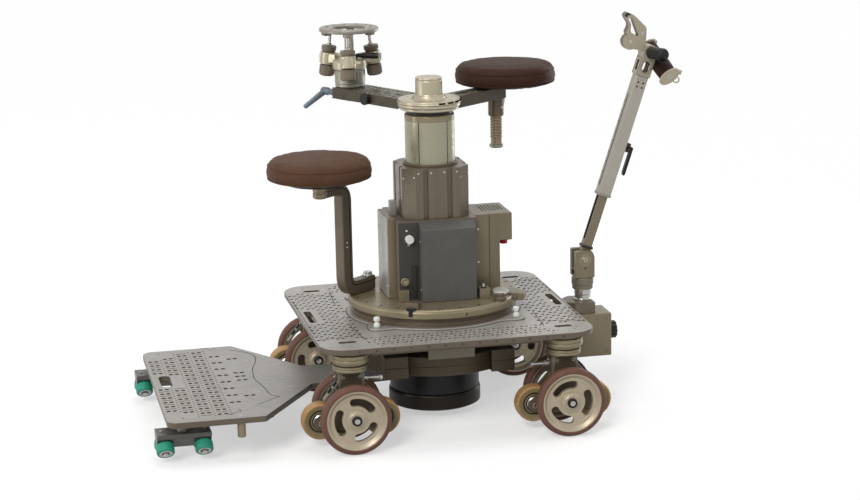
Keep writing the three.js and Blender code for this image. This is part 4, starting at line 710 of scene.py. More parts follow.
def make_deck():
    piece = Piece("deck", "chassis", ["deck_plate"], "deck")
    bottom = deck.top - deck.thickness
    disc_top = deck.top + deck.disc_height
    deck_plate(piece, bottom)
    base_plate(piece, disc_top)
    # Dark seam lines on the deck: painted shade
    for sx in SIDES:
        shaded_groove_line(piece, [(sx * 398, -200), (sx * 398, 200)], deck.top)
        shaded_groove_line(piece, [(sx * 266, -300), (sx * 280, -120)], deck.top)
        shaded_groove_line(piece, [(sx * 266, 300), (sx * 280, 120)], deck.top)
        for sy in SIDES:
            deck_corner(piece, sx, sy, bottom, disc_top)
    for sy in SIDES:
        for step in range(-6, 7):
            spot = (step * 50, sy * (deck.half_width - CLEAR), deck.top - deck.thickness / 2)
            piece.bolt(spot, (0, sy, 0), 3.4, 0.7, DARK_STEEL)
    for sy in SIDES:
        piece.add(block(-250, 250, sy * 300, sy * 312, 262, belly.top, 1.5), BROWN)
        for step in range(-6, 7):
            for y, shift in ((362, -10.5), (340, 10.5), (317, -10.5)):
                piece.bolt((step * 42 + shift, sy * y, deck.top), UP, 2.8, 1.2, STEEL)
    # Dark line round the eared disc's foot: painted shade
    ears = [(x * 1.004, y * 1.004) for x, y in eared_disc()]
    shaded_groove_line(piece, [*ears, ears[0]], deck.top, 2.2, 0.2)
    piece.build()


# Housing under the deck
def make_belly():
    piece = Piece("belly", "chassis", ["belly_housing"], "bronze")
    r, low, top = belly.band_radius, belly.band_low, belly.band_top
    ring = [
        (0, belly.ring_low), (126, belly.ring_low), (139, 27), (139, 64), (136, belly.drum_low), (0, belly.drum_low),
    ]
    drum = [(0, belly.drum_low), (133, belly.drum_low), (135, 74), (135, low), (0, low)]
    band = [
        (0, low), (r - 2, low), (r, 165), (r, 190), (243.6, 191.5), (r, 193), (r, 220), (r - 2, top), (0, top),
    ]
    neck = [(188, top), (200, top), (200, belly.top), (188, belly.top)]
    piece.add(lathe(ring, 2, FINE_ROUND), DRUM_RING)
    piece.add(lathe(drum, 1, FINE_ROUND), DRUM)
    piece.add(lathe(band, 0.8, FINEST_ROUND), UNDER_DECK_SHADE_BRONZE)
    piece.add(lathe(neck, 1, FINE_ROUND), DRUM)
    for sx, sy in CORNERS:
        y = sy * 225
        piece.add(block(sx * 125, sx * 196, sy * 165, y, 159, 226, 2.5), UNDER_DECK_SHADE_BRONZE)
        # Thin black strip along each block: painted shade of a seam
        piece.add(block(sx * 126, sx * 195, y - 0.2, y + 0.2, 191, 192.4, 0), SHADE)
    piece.add(block(-70, 70, -246, -238, 216, belly.top, 1.5), OLIVE)
    for sx in SIDES:
        piece.bolt((sx * 58, -246, 272), (0, -1, 0), 4, 1.2, STEEL)
    piece.build()


# Corner forks and wheels
def fork_block(piece, rail_y):
    """Turned head, block and stem of a fork."""
    disc = [
        (0, 230.7), (44, 230.7), (50, 233), (50, 239), (48, 240.5), (50, 242), (50, 247), (40, 249), (40, 251.7),
        (0, 251.7),
    ]
    piece.add(lathe(disc, 1), BRONZE_TURNED)
    piece.add(block(-38, 38, rail_y - 32, rail_y + 32, 141, 231, 3), OLIVE)
    piece.add(block(-22, 22, rail_y - 31.5, rail_y + 31.5, 79, 144, 2), OLIVE)


def fork_side(piece, rail_y, side):
    """Side plate with the pins of both track wheels, and one end of the axle with its cap."""
    plate = [
        (-112, 71), (-90, 60), (90, 60), (112, 71), (112, 93), (90, 104), (38, 163), (-38, 163), (-90, 104),
        (-112, 93),
    ]
    y0, y1 = rail_y + side * 24.5, rail_y + side * 32.5
    piece.add(along_y(soften(plate, 8), min(y0, y1), max(y0, y1), 1.5), BROWN)
    for end in SIDES:
        middle = (end * rail_wheel.spread, rail_y, rail_wheel.height)
        outside = (end * rail_wheel.spread, y1, rail_wheel.height)
        piece.bolt(outside, (0, side, 0), 9, 4, STEEL)
        piece.add(bar(middle, outside, 9), STEEL)
    outer = side * wheel.axle_end
    place = aim((0, outer, wheel.radius), (0, side, 0))
    piece.add(bar((0, 0, wheel.radius), (0, outer + side * 1, wheel.radius), 12), STEEL)
    piece.add(lathe([(8, 0), (14, 0), (14, 6), (12, 8), (8, 8)], 0.8, 40), BLACK, at=place)
    piece.add(lathe([(0, 0), (8, 0), (8, 6.6), (3, 7.4), (2, 5.5), (0, 5.5)], 0.4, 32), STEEL, at=place)


def fork_lock(piece, rail_y, sx, sy, height=198):
    """Lock pin that points inward, and the scraper that leans outward."""
    start, end = -sx * 36, -sx * 96
    piece.add(bar((start, rail_y, height), (end, rail_y, height), 6), STEEL)
    piece.add(bar((-sx * 38, rail_y, height), (-sx * 52, rail_y, height), 9.5, edge=1.5), STEEL)
    piece.add(bar((-sx * 86, rail_y, height), (end, rail_y, height), 9, edge=1.5), STEEL)
    fall = Vector((sx * 46, 0, -57))
    lean = fall.to_track_quat("X", "Z").to_matrix().to_4x4()
    strut = Matrix.Translation((sx * 34, rail_y + sy * 19.5, 203)) @ lean
    piece.add(block(0, fall.length, -13, 13, -3, 3, 1.2), OLIVE, at=strut)
    for reach in (16, 40):
        piece.add(block(reach - 8, reach + 8, -10, 10, 3, 9, 1.5), BLACK, at=strut)
    for side in SIDES:
        piece.bolt((side * 24, rail_y + sy * 32.5, 212), (0, sy, 0), 5, 3.5, STEEL)


def fork_cheeks(piece, rail_y):
    """Plates bolted on both sides of the block and at both of its ends."""
    piece.add(block(-46, 46, rail_y - 8, rail_y + 8, 118, 140.8, 2), DARK_STEEL)
    for side in SIDES:
        cheek = soften([(-38, 168), (-26, 222), (26, 222), (38, 168), (30, 150), (-30, 150)], 5)
        y0, y1 = sorted((rail_y + side * 31, rail_y + side * 35))
        piece.add(along_y(cheek, y0, y1, 1.2), UNDER_DECK_SHADE_BRONZE)
        for x, z in ((-22, 164), (22, 164), (0, 180)):
            piece.bolt((x, rail_y + side * 35, z), (0, side, 0), 5.5 if x else 8, 3, STEEL if x else BLACK)
    for end in SIDES:
        piece.add(block(end * 37, end * 41, rail_y - 18, rail_y + 18, 176, 220, 1.5), UNDER_DECK_SHADE_BRONZE)
        piece.bolt((end * 41, rail_y, 208), (end, 0, 0), 6, 3, STEEL)


def make_fork(label, sx, sy):
    at = Matrix.Translation((sx * pivot.x, sy * pivot.y, 0))
    piece = Piece(label + "_steering_fork", label + "_truck", [label + "_fork"], "bronze", at)
    rail_y = (rail.half_gauge - pivot.y) * sy
    fork_block(piece, rail_y)
    for side in SIDES:
        fork_side(piece, rail_y, side)
    fork_lock(piece, rail_y, sx, sy)
    fork_cheeks(piece, rail_y)
    piece.build()


def kidney(middle, radius=53, width=24, span=0.17 * TURN):
    """Curved slot about the wheel's centre."""
    half = span / 2
    end = width / 2
    outer = arc(0, 0, radius + end, middle - half, middle + half, 14)
    tip = (math.cos(middle + half) * radius, math.sin(middle + half) * radius)
    tail = (math.cos(middle - half) * radius, math.sin(middle - half) * radius)
    points = outer + arc(*tip, end, middle + half, middle + half + math.pi, 8)[1:]
    points += arc(0, 0, radius - end, middle + half, middle - half, 12)[1:]
    points += arc(*tail, end, middle - half + math.pi, middle - half + TURN, 8)[1:-1]
    return points


def make_wheel(name, x, y, facing, first_slot):
    at = Matrix.Translation((x, y, wheel.radius)) @ Matrix.Rotation(-facing * QUARTER, 4, "X")
    piece = Piece(name + "_dressed", name, [name], "tyre", at)
    tyre = [
        (87, -17.5), (92, -17.5), (98, -15), (102, -9), (103, 0), (102, 9), (98, 15), (92, 17.5), (87, 17.5),
    ]
    rim = [
        (64, -8), (74, -8.5), (80, -14), (84, -17), (88.5, -17), (88.5, 17), (84, 17), (80, 14), (74, 8.5), (64, 8),
    ]
    hub_ring = [(14, -15), (21, -15), (24, -12), (31, -10), (31, 10), (24, 12), (21, 15), (14, 15)]
    piece.add(lathe(tyre, 1.2, FINE_ROUND), TYRE)
    piece.add(lathe(rim, 2, FINE_ROUND), WHEEL_FACE)
    slots = [kidney(first_slot + TURN * i / 3) for i in range(3)]
    piece.add(prism(circle(0, 0, 66, 96), -7, 7, 1.2, [circle(0, 0, 20, 48), *slots], True), WHEEL_FACE)
    piece.add(lathe(hub_ring, 1), WHEEL_FACE)
    seam = [(12.6, 0), (14.6, 0), (14.6, 0.6), (12.6, 0.6)]
    for side in SIDES:
        piece.add(lathe(seam, 0, 40), BLACK, at=aim((0, 0, side * 14.6), (0, 0, side)))
    piece.build()


def make_rail_wheel(name, x, y):
    at = Matrix.Translation((x, y, rail_wheel.height)) @ Matrix.Rotation(QUARTER, 4, "X")
    piece = Piece(name + "_dressed", name, [name], "rail_wheel", at)
    tread = [(46, -21), (49, -22), (53, -18), (54, -12), (54, 12), (53, 18), (49, 22), (46, 21)]
    face = [(33, -17), (36, -20), (47, -21.4), (47, 21.4), (36, 20), (33, 17)]
    web = [(20, -13), (34, -13), (34, 13), (20, 13)]
    hub_ring = [(10, -19), (17, -20), (22, -17), (22, 17), (17, 20), (10, 19)]
    piece.add(lathe(tread, 1.2, 96), AMBER)
    piece.add(lathe(face, 1, 96), RAIL_FACE)
    piece.add(lathe(web, 0.8, 72), DARK_STEEL)
    piece.add(lathe(hub_ring, 1, 72), STEEL)
    piece.add(lathe([(25, -16), (29, -16), (29, 16), (25, 16)], 0.8, 72), RAIL_FACE)
    piece.build()


def make_corner(label, sx, sy, slot_turns):
    make_fork(label, sx, sy)
    for (side, sign), turn in zip((("outer", 1), ("inner", -1)), slot_turns):
        facing = sy * sign
        y = sy * (pivot.y + sign * wheel.offset)
        make_wheel(label + "_" + side + "_wheel", sx * pivot.x, y, facing, turn)
    for end, sign in (("front", -1), ("rear", 1)):
        make_rail_wheel(
            label + "_rail_wheel_" + end, sx * pivot.x + sign * rail_wheel.spread, sy * rail.half_gauge,
        )


# Front platform and skates
def platform_holes():
    """Hand slot, rows of paired holes with thin slots between, and two thinner columns behind."""
    holes = [slot(platform.slot_length, platform.slot_width, -platform.slot_x, platform.slot_centre, QUARTER)]
    spots = [(-platform.slot_x, platform.slot_centre + step * 24, 20) for step in range(-2, 3)]
    spots += [(-skate.x, sy * rail.half_gauge, 16) for sy in (-1, 1)]
    spots += [(-640, sy * platform.half_width, 34) for sy in (-1, 1)]
    for column in range(4):
        x = -826 + column * 46.3
        shift = 22 if column % 2 else 0
        for row in range(-8, 9):
            y = row * 44 + shift
            if abs(y) < 345 and clear_of(x, y, 13, 3, spots):
                holes.extend(pair(x, y, 7, 9))
            if abs(y + 22) < 345 and clear_of(x, y + 22, 16, 3, spots):
                holes.append(slot(34, 4.6, x, y + 22, 0, 3))
            for side in SIDES:
                dot = (x + 23.1, y + side * 11)
                if abs(dot[1]) < 345 and clear_of(*dot, 3, 3, spots):
                    holes.append(circle(*dot, 3.2, 8))
    for row in range(8):
        holes.extend(pair(-638, 272 - row * 71, 7.4, 9.6))
    for y in (-170, -5, 35, 75, 232):
        holes.extend(pair(-588, y, 7.4, 9.6))
    return holes


def platform_outline():
    """Wide plate that tapers to a tongue, which ends on the round housing."""
    f, w, c, t, round_end = platform.front, platform.half_width, platform.corner, platform.tongue, platform.round_end
    edge_turn = math.asin(t / round_end * 0.72)
    x, y = polar(-round_end, edge_turn)
    outline = arc(-f + c, w - c, c, QUARTER, 2 * QUARTER, 8) + arc(-f + c, -w + c, c, 2 * QUARTER, 3 * QUARTER, 8)
    outline += [(-platform.shoulder, -w), (-platform.taper_end, -t), (x, y)]
    outline += arc(0, 0, round_end, math.pi + edge_turn, math.pi - edge_turn, 16)[1:-1]
    return outline + [(x, -y), (-platform.taper_end, t), (-platform.shoulder, w)]


def make_platform():
    piece = Piece("platform", "chassis", ["front_platform"], "deck")
    low, top, w = platform.low, platform.top, platform.half_width
    holes = platform_holes()
    piece.add(prism(platform_outline(), low, top, 2, holes), PLATE, SHADED_EDGE_BROWN)
    # Black sheet under the plate that darkens the holes: painted shade
    shade_sheet = rectangle(-platform.front + 10, -545, -w + 36, w - 36)
    piece.add(prism(shade_sheet, low + 0.4, low + 2, 0, holes[:1]), SHADE)
    # Wave and short lines drawn as dark strips: painted shade of seams
    wave = [
        (-580, 330), (-540, 300), (-513, 249), (-519, 188), (-542, 108), (-553, -3), (-535, -107), (-531, -179),
        (-507, -207),
    ]
    shaded_groove_line(piece, soften(wave, 26, False, 4), top, 2)
    for line in ([(-507, -207), (-579, -267)], [(-639, -292), (-634, -318), (-675, -343)], [(-668, 378), (-624, 361)]):
        shaded_groove_line(piece, line, top, 1.6)
    spots = [(-350, 62), (-350, -62), (-300, 0), (-470, -20), (-455, 130), (-460, -120), (-545, 200), (-560, -150)]
    for sy in SIDES:
        peg = lathe([(0, 69), (10.5, 69), (12, 71), (12, 108), (14, 113.5), (0, 113.5)], 0.8, 48)
        piece.add(moved(peg, -640, sy * 362), BRONZE_TURNED)
        piece.bolt((-640, sy * 362, top), UP, 6, 0.8, STEEL)
    for spot in spots:
        piece.bolt((*spot, top), UP, 6, 0.8, STEEL)
    piece.build()


def roller_axis(side):
    return Vector((0, side, -1)).normalized()


def skate_rollers_at(first_side, origin=Vector()):
    """Place and axis of each roller of a skate, by its end and side."""
    for end in SIDES:
        for side in (first_side, -first_side):
            yield end, side, origin + Vector((end * skate.spread, side * skate.side, skate.rise)), roller_axis(side)


def make_skate(label, sy):
    origin = Vector((-skate.x, sy * rail.half_gauge, 0))
    piece = Piece(label + "_skate_frame", label + "_skate", [label + "_skate"], "brown", Matrix.Translation(origin))
    inner = Vector((0, skate.side, skate.rise)) - roller_axis(1) * skate.pin
    apex = inner.z - inner.y
    half, top = skate.half_width, skate.top
    section = [(-3, apex + 3), (3, apex + 3), (half, apex + half), (half, top), (-half, top), (-half, apex + half)]
    piece.add(along_x(section, -skate.half_length, skate.half_length, 2.5), SKATE_GREY)
    post = [(0, 81), (17, 81), (17, 90), (15, 92), (15, 125), (0, 125)]
    piece.add(lathe(post, 0.8, 48), SILVER)
    for end, side, centre, axis in skate_rollers_at(-1):
        if side < 0:
            piece.bolt((end * 62, 0, top), UP, 5, 3, STEEL)
        piece.add(bar(centre - axis * 22, centre + axis * skate.pin, 5), STEEL)
        place = aim(centre + axis * skate.pin, axis)
        piece.add(prism(circle(0, 0, 9, 6), 0, 5, 0.8), STEEL, at=place)
        piece.add(rod(9.5, 0.8, 0.2), STEEL, at=place)
    piece.build()
    for end, side, centre, axis in skate_rollers_at(sy, origin):
        place = "outer" if side == sy else "inner"
        make_roller("_".join([label, place, "front" if end < 0 else "rear", "roller"]), centre, axis)


def make_roller(name, centre, axis):
    piece = Piece(name + "_dressed", name, [name], "roller", aim(centre, axis))
    body = [(18, -14), (20, -15), (23, -15), (26, -11), (26, 11), (23, 15), (20, 15), (18, 14)]
    ring = [(12, -14.6), (19, -14.6), (19, 14.6), (12, 14.6)]
    core = [(5.6, -13), (12.5, -13), (12.5, 13), (5.6, 13)]
    piece.add(lathe(body, 1.4, 64), GREEN)
    piece.add(lathe(ring, 0.6, 48), WHITE)
    piece.add(lathe(core, 0.6, 48), DARK_STEEL)
    piece.build()


# Turntable and the column's housing
def make_turntable():
    piece = Piece("turntable_dressed", "turret", ["turntable"], "bronze")
    r, top = table.radius, table.top
    disc = [
        (0, 318.5), (148.5, 318.5), (148.5, 336), (r - 5, 336), (r - 2, 338), (r, 340), (r, 356), (r - 1.5, 357.5),
        (r - 1.5, 361), (r - 6, top), (0, top),
    ]
    piece.add(lathe(disc, 1, 192), BRONZE_TURNED)
    right, left = -0.068 * TURN, -0.325 * TURN
    piece.add(moved(block(222, 262, -30, 30, 346, 371, 2), turn=right), OLIVE)
    piece.add(moved(block(256, 282, -22, 22, 346, 369, 3), turn=right), BRONZE)
    piece.add(block(110, 142, -156, -116, top, 396, 1.5), BRONZE)
    piece.add(moved(rod(4, 14), 122, -146, 396), STEEL)
    piece.add(moved(rod(7, 4), 122, -146, 396), BLACK)
    post = [(0, top), (19, top), (19, 372), (15, 374), (15, 384), (13, 387), (0, 387)]
    piece.add(moved(lathe(post, 0.8, 48), 166, -176), BROWN_TURNED)
    bezel = [(0, 0), (22, 0), (24, 2), (24, 6), (17, 9), (0, 11)]
    tilt = Matrix.Translation((170, -164, 384)) @ Matrix.Rotation(math.radians(12), 4, "X")
    piece.add(lathe(bezel, 1.5, 48), SIDE_GREY, at=tilt)
    piece.add(moved(block(214, 246, -20, 20, top, 384, 2), turn=left), BROWN)
    piece.add(moved(block(246, 255, -14, 14, 362, 370, 1.5), turn=left), BLACK)
    piece.add(moved(block(250, 259, -6, 6, 346, 364, 1), turn=left), BLACK)
    piece.bolt_circle(24, 238, top - CLEAR, 4.5, 0.8, DARK_STEEL)
    for i in range(3):
        angle = left + math.radians(62) * (i + 0.6)
        piece.bolt(polar(r - CLEAR, angle, 348), polar(1, angle, 0), 3.5, 0.8, DARK_STEEL)
    piece.build()


def sleeve_outline(grow):
    """Octagon with notched sides."""
    a, b, c = sleeve.half_length + grow, sleeve.half_width + grow, sleeve.chamfer
    near = sleeve.groove - sleeve.groove_half + grow
    far = sleeve.groove + sleeve.groove_half - grow
    d = sleeve.groove_depth
    quarter = [
        (a, near), (a - d, near), (a - d, far), (a, far), (a, b - c), (a - c, b), (far, b), (far, b - d),
        (near, b - d), (near, b),
    ]
    back = quarter[::-1]
    return quarter + [(-x, y) for x, y in back] + [(-x, -y) for x, y in quarter] + [(x, -y) for x, y in back]


def housing_shell(piece, bottom, w):
    outline = soften(rectangle(housing.left, housing.right, -w, w), 5)
    piece.add(prism(outline, bottom, housing.top, 1.5, [sleeve_outline(0.5)], True), BROWN)
    piece.add(block(-149, -126, -75, 75, bottom, 608, 2), BRONZE)
    piece.add(block(-150, -148, -73, 73, table.top + 2, 606, 0.8), SIDE_GREY)
    piece.add(block(-128, -108, -12, 12, 603, 648, 2), SIDE_GREY)
    piece.add(block(-124, -63.5, -w - 2, -w + 1, bottom, 600, 0.8), PANEL)


def housing_fittings(piece, bottom, w):
    """Knob, lamps, valve and rail beside the front cover."""
    near = (0, -1, 0)
    piece.add(prism(fluted(13, 1.2, 14), 0, 16, 1.2), WHITE, at=aim((-93, -w - 1, 552), near))
    for x, z in ((-100, 577), (-94, 534)):
        piece.bolt((x, -w - 2, z), near, 3, 1.2, WHITE)
    valve = lathe([(0, 0), (13, 0), (13, 7), (9, 8), (9, 19), (6, 20), (0, 20)], 0.8, 40)
    piece.add(valve, BRONZE_TURNED, at=aim((-108, -w - 1, 423), near))
    piece.add(lathe([(8, 0), (10, 0), (10, 4), (8, 4)], 0.5, 40), BLACK, at=aim((-108, -w - 12, 423), near))
    piece.add(block(-127, -98, -w - 14, -w + 1, bottom, 400, 1.5), BRONZE)
    piece.add(block(-86, -72, -w - 8, -w + 1, table.top + 10, 470, 2), DARK_STEEL)


def make_housing():
    piece = Piece("housing", "turret", ["column_housing"], "brown")
    bottom, w = table.top + CLEAR, housing.half_width
    housing_shell(piece, bottom, w)
    housing_fittings(piece, bottom, w)
    piece.add(block(-104, -98, w - 1, w + 3, 380, 590, 1), DARK_STEEL)
    for z in (400, 480, 560):
        for y in (-60, 60):
            piece.bolt((-150, y, z), (-1, 0, 0), 5, 1.2, STEEL)
        for x in (-90, 90):
            piece.bolt((x, w, z), (0, 1, 0), 5, 1.2, STEEL)
    piece.add(along_y(soften(rectangle(-70, 70, 400, 570), 8), w - 1, w + 3, 1), COVER)
    piece.build()


def make_cover():
    piece = Piece("cover", "turret", ["front_cover"], "cover")
    bottom = table.top + CLEAR
    section = [
        (cover.front, bottom), (cover.back, bottom), (cover.back, cover.back_top), (cover.front, cover.top),
    ]
    piece.add(along_x(section, cover.left, cover.right, 2.5), COVER)
    for x, facing in ((cover.left, -1), (cover.right, 1)):
        for z in (400, 545):
            piece.bolt((x, -132, z), (facing, 0, 0), 4.5, 1.4, STEEL)
    piece.build()


def make_control_box():
    piece = Piece("control_housing", "turret", ["control_box"], "bronze")
    bottom = table.top + CLEAR
    section = [
        (box.left, bottom), (box.low_right, bottom), (box.low_right, box.overhang), (box.right, box.overhang),
        (box.right, box.top), (box.left, box.top),
    ]
    piece.add(along_y(section, box.near, box.far, 2.5), BOX_BRONZE)
    # Thin black strips on the top: painted shade in the grille's slots
    for step in range(7):
        x = 150 + step * 10
        piece.add(block(x, x + 3, -30, 46, box.top - 0.5, box.top + 0.3, 0), SHADE)
    # Upright black strip on the near face: painted shade of a seam
    piece.add(block(158, 159.4, box.near - 0.3, box.near + 0.3, bottom + 3, box.top - 4, 0), SHADE)
    for z in (400, 500):
        piece.bolt((box.low_right, 40, z), (1, 0, 0), 4.5, 1.4, STEEL)
        piece.bolt((124, box.near, z + 60), (0, -1, 0), 3, 1, STEEL)
    ring = [(12.8, 0), (15.4, 0), (15.4, 2), (12.8, 2)]
    piece.add(lathe(ring, 0.5, 40), BLACK, at=aim((210, -48, box.overhang), (0, 0, -1)))
    piece.build()


def make_button():
    at = Matrix.Translation((210, -48, box.overhang))
    piece = Piece("button", "red_button", ["red_button"], "red", at)
    cap = [(0, -16.4), (10, -16.4), (12, -14), (11, -9), (12, -5), (9, -4.4), (9, 13), (0, 13)]
    piece.add(lathe(cap, 1, 48), RED)
    piece.build()


# Telescopic column
def sleeve_corner(piece, sx, sy):
    """Rows of small dots and two bolts on one slanted face."""
    c = sleeve.chamfer / 2
    normal = Vector((sx, sy, 0)).normalized()
    middle = Vector((sx * (sleeve.half_length - c), sy * (sleeve.half_width - c), 0))
    across = Vector((-sy, sx, 0)).normalized()
    for column in (-1.5, -0.5, 0.5, 1.5):
        for row in range(17):
            spot = middle + across * column * 7 + Vector((0, 0, 735 - row * 8.5))
            piece.add(rod(1.1, 0.5, 0.1, 8), SILVER, at=aim(spot - normal * 0.2, normal))
    for side in SIDES:
        piece.bolt(middle + across * side * 19 + Vector((0, 0, 728 + side * 3)), normal, 3, 1, STEEL)


def make_sleeve():
    piece = Piece("sleeve", "column_sleeve", ["column_sleeve"], "brown")
    top = sleeve.top
    piece.add(prism(sleeve_outline(0), sleeve.low, top, 1.2, [circle(0, 0, sleeve.bore, 96)], True), SLEEVE_BROWN)
    collar = [(75, top), (82, top), (82, top + 5), (80, top + 7), (75, top + 7)]
    piece.add(lathe(collar, 0.8, FINE_ROUND), BROWN_TURNED)
    for sx, sy in CORNERS:
        sleeve_corner(piece, sx, sy)
    for sx in SIDES:
        for x in (sx * 58, sx * 20):
            for side in SIDES:
                piece.bolt((x, side * sleeve.half_width, top - 12), (0, side, 0), 3, 1, STEEL)
    piece.build()


def make_tube():
    piece = Piece("tube", "column_tube", ["column_tube"], "bronze")
    bore, r, low, flange_top = tube.bore, tube.radius, tube.flange_low, tube.flange_top
    body = [(bore, tube.low), (r, tube.low), (r, tube.band_low), (bore, tube.band_low)]
    piece.add(lathe(body, 0.8, FINEST_ROUND), TUBE)
    outer = r + CLEAR
    band = [(bore, tube.band_low), (outer, tube.band_low), (outer, 902), (72, tube.neck_low), (bore, tube.neck_low)]
    piece.add(lathe(band, 0.6, FINEST_ROUND), BRONZE_TURNED)
    # Thin black strips along the tube: painted shade of grooves
    for angle in (-128, -58, 52, 122):
        groove = block(73.2, 74.2, -1.2, 1.2, 760, tube.band_low, 0.2)
        piece.add(moved(groove, turn=math.radians(angle)), SHADE)
    piece.add(lathe([(0, 904), (68, 904), (68, low), (0, low)], 0.5, FINE_ROUND), DARK_STEEL)
    flange = [(0, low), (86, low), (88, 920.5), (88, 926), (86, flange_top), (0, flange_top)]
    piece.add(lathe(flange, 0.6, FINEST_ROUND), PALE_BRONZE)
    piece.build()


# Arms
def camera_arm_holes():
    """Two rows of round holes, with slots and single holes between them."""
    holes = []
    for row in (-36, 36):
        for step in range(9):
            holes.append(circle(118 + step * 21, row, 4.4 if step % 3 else 6.5, 16))
    for step in range(3):
        holes.append(slot(30, 11, 130 + step * 52, 8, 0.15))
        holes.append(circle(152 + step * 52, -14, 4.2, 16))
    return holes


def camera_arm_hub(piece):
    """Disc on the column with its cap, bolts and small windows, the windows being black blocks of painted shade."""
    disc = [
        (0, 929), (35, 929), (35, hub.disc_low), (95, hub.disc_low), (95, 942), (93, 943.5), (93, 947),
        (91, hub.disc_top), (56, hub.disc_top), (52, 951), (49, 955), (46, 960), (41, 960.5), (40, 963), (40, 1002),
        (38.5, 1004), (38.5, 1006), (40, 1008), (39, 1012), (36, 1013), (0, 1013),
    ]
    piece.add(lathe(disc, 0.7, FINE_ROUND), PALE_BRONZE)
    piece.bolt_circle(8, 74, hub.disc_top - 0.2, 5, 0.8, STEEL)
    # Black blocks on the disc's rim: painted shade of small windows
    for i in range(5):
        angle = -arm.turn - math.radians(78 - i * 19)
        window = block(92.6, 95.3, -10, 10, 941.4, 946.8, 0.8)
        piece.add(moved(window, turn=angle), SHADE)


def make_camera_arm():
    piece = Piece("camera_arm_dressed", "camera_arm", ["camera_arm"], "bronze", Matrix.Rotation(arm.turn, 4, "Z"))
    start = math.asin(arm.half_width / hub.clear)
    outline = arc(0, 0, hub.clear, start, -start, 20)
    outline += soften([(200, -57), (392, -57), (392, 57), (200, 57)], 14)[4:-4]
    piece.add(prism(outline, arm.low, arm.top, 2, camera_arm_holes(), True), ARM_TOP, ARM_SIDE_SHADE)
    camera_arm_hub(piece)
    piece.add(prism(fluted(18, 2.2, 12), 0, 14, 2.5), BLACK, at=aim((218, 59, 929), (0, 1, 0)))
    piece.add(bar((218, 56, 929), (218, 61, 929), 12), DARK_STEEL)
    for side in SIDES:
        for x in (330, 250, 150):
            piece.bolt((x, side * 57, 921), (0, side, 0), 3.2, 0.8, DARK_STEEL)
    for step in range(9):
        for row in (-48, -24, 22, 48):
            piece.bolt((122 + step * 21, row, arm.top - 0.2), UP, 3, 0.9, STEEL)
    piece.add(block(300, 391, -55, 55, arm.low - 0.8, arm.low + 1, 0.4), DARK_STEEL)
    piece.build()


def make_arm_lever():
    at = Matrix.Rotation(arm.turn, 4, "Z") @ Matrix.Translation((arm.length, 34, 926))
    piece = Piece("arm_lever", "arm_lock_lever", ["arm_lock_lever"], "steel", at)
    drop = 0.075 * TURN
    piece.add(bar((-24, 0, 0), (4, 0, 0), 6), STEEL)
    profile = [
        (0, 0.3), (9, 0.3), (11, 3), (11, 20), (9.5, 22), (9.5, 34), (11, 36), (12.5, 42), (12.5, 62), (10, 68),
        (0, 68),
    ]
    piece.add(lathe(profile, 1.2, 48), LEVER_BLUE, at=aim((0, 0, 0), (1, 0, 0)))
    tip = Vector((58, math.cos(drop) * 92, -math.sin(drop) * 92))
    start = Vector((56, 0, 0))
    run = (tip - start).normalized()
    piece.add(bar(start, tip - run * 2, 10, 7.2, 2.5, 40), LEVER_BLUE)
    piece.build()


def make_seat_arm():
    piece = Piece("seat_arm_dressed", "seat_arm", ["seat_arm"], "bronze", Matrix.Rotation(seat_arm.turn, 4, "Z"))
    ring = [(36, 928.3), (91, 928.3), (93, 930), (93, 937), (91, 938.8), (36, 938.8)]
    piece.add(lathe(ring, 0.7, FINE_ROUND), PALE_BRONZE)
    start = math.asin(seat_arm.root / hub.clear)
    outline = arc(0, 0, hub.clear - 1.6, start, -start, 16)
    far = soften([(100, -37.7), (324, -29), (324, 29), (100, 37.7)], 9)[4:-4]
    outline += far
    slot_hole = slot(60, 16, 148, 0)
    extra = [circle(196, 0, 5, 16), slot(34, 12, 230, 0)]
    post_hole = circle(seat_arm.post_at, 0, 19.6, 40)
    piece.add(prism(outline, seat_arm.low, seat_arm.top, 1.8, [slot_hole, *extra, post_hole]), ARM_TOP, ARM_SIDE_SHADE)
    # Dark block inside the arm, seen through its slots: painted shade in the holes
    piece.add(block(106, 262, -14, 14, 914, 932, 1), DARK_STEEL)
    clamp = [(19.6, 855), (22, 854), (24, 857), (24, 903), (26, 909.5), (19.6, 909.5)]
    piece.add(moved(lathe(clamp, 0.8, 64), seat_arm.post_at), BROWN_TURNED)
    piece.bolt((seat_arm.post_at, -24, 882), (0, -1, 0), 5, 2, STEEL)
    latch = [(324, 930), (327, 932), (334, 905), (331, 886), (327, 880), (324, 884)]
    piece.add(along_y(latch, -11, 11, 0.8), SILVER)
    piece.bolt((330, 4, 893), (1, 0, 0), 4, 2, DARK_STEEL)
    for x in (112, 186, 268):
        for side in SIDES:
            piece.bolt((x, side * 22, seat_arm.top - 0.2), UP, 3.4, 0.8, STEEL)
    piece.build()


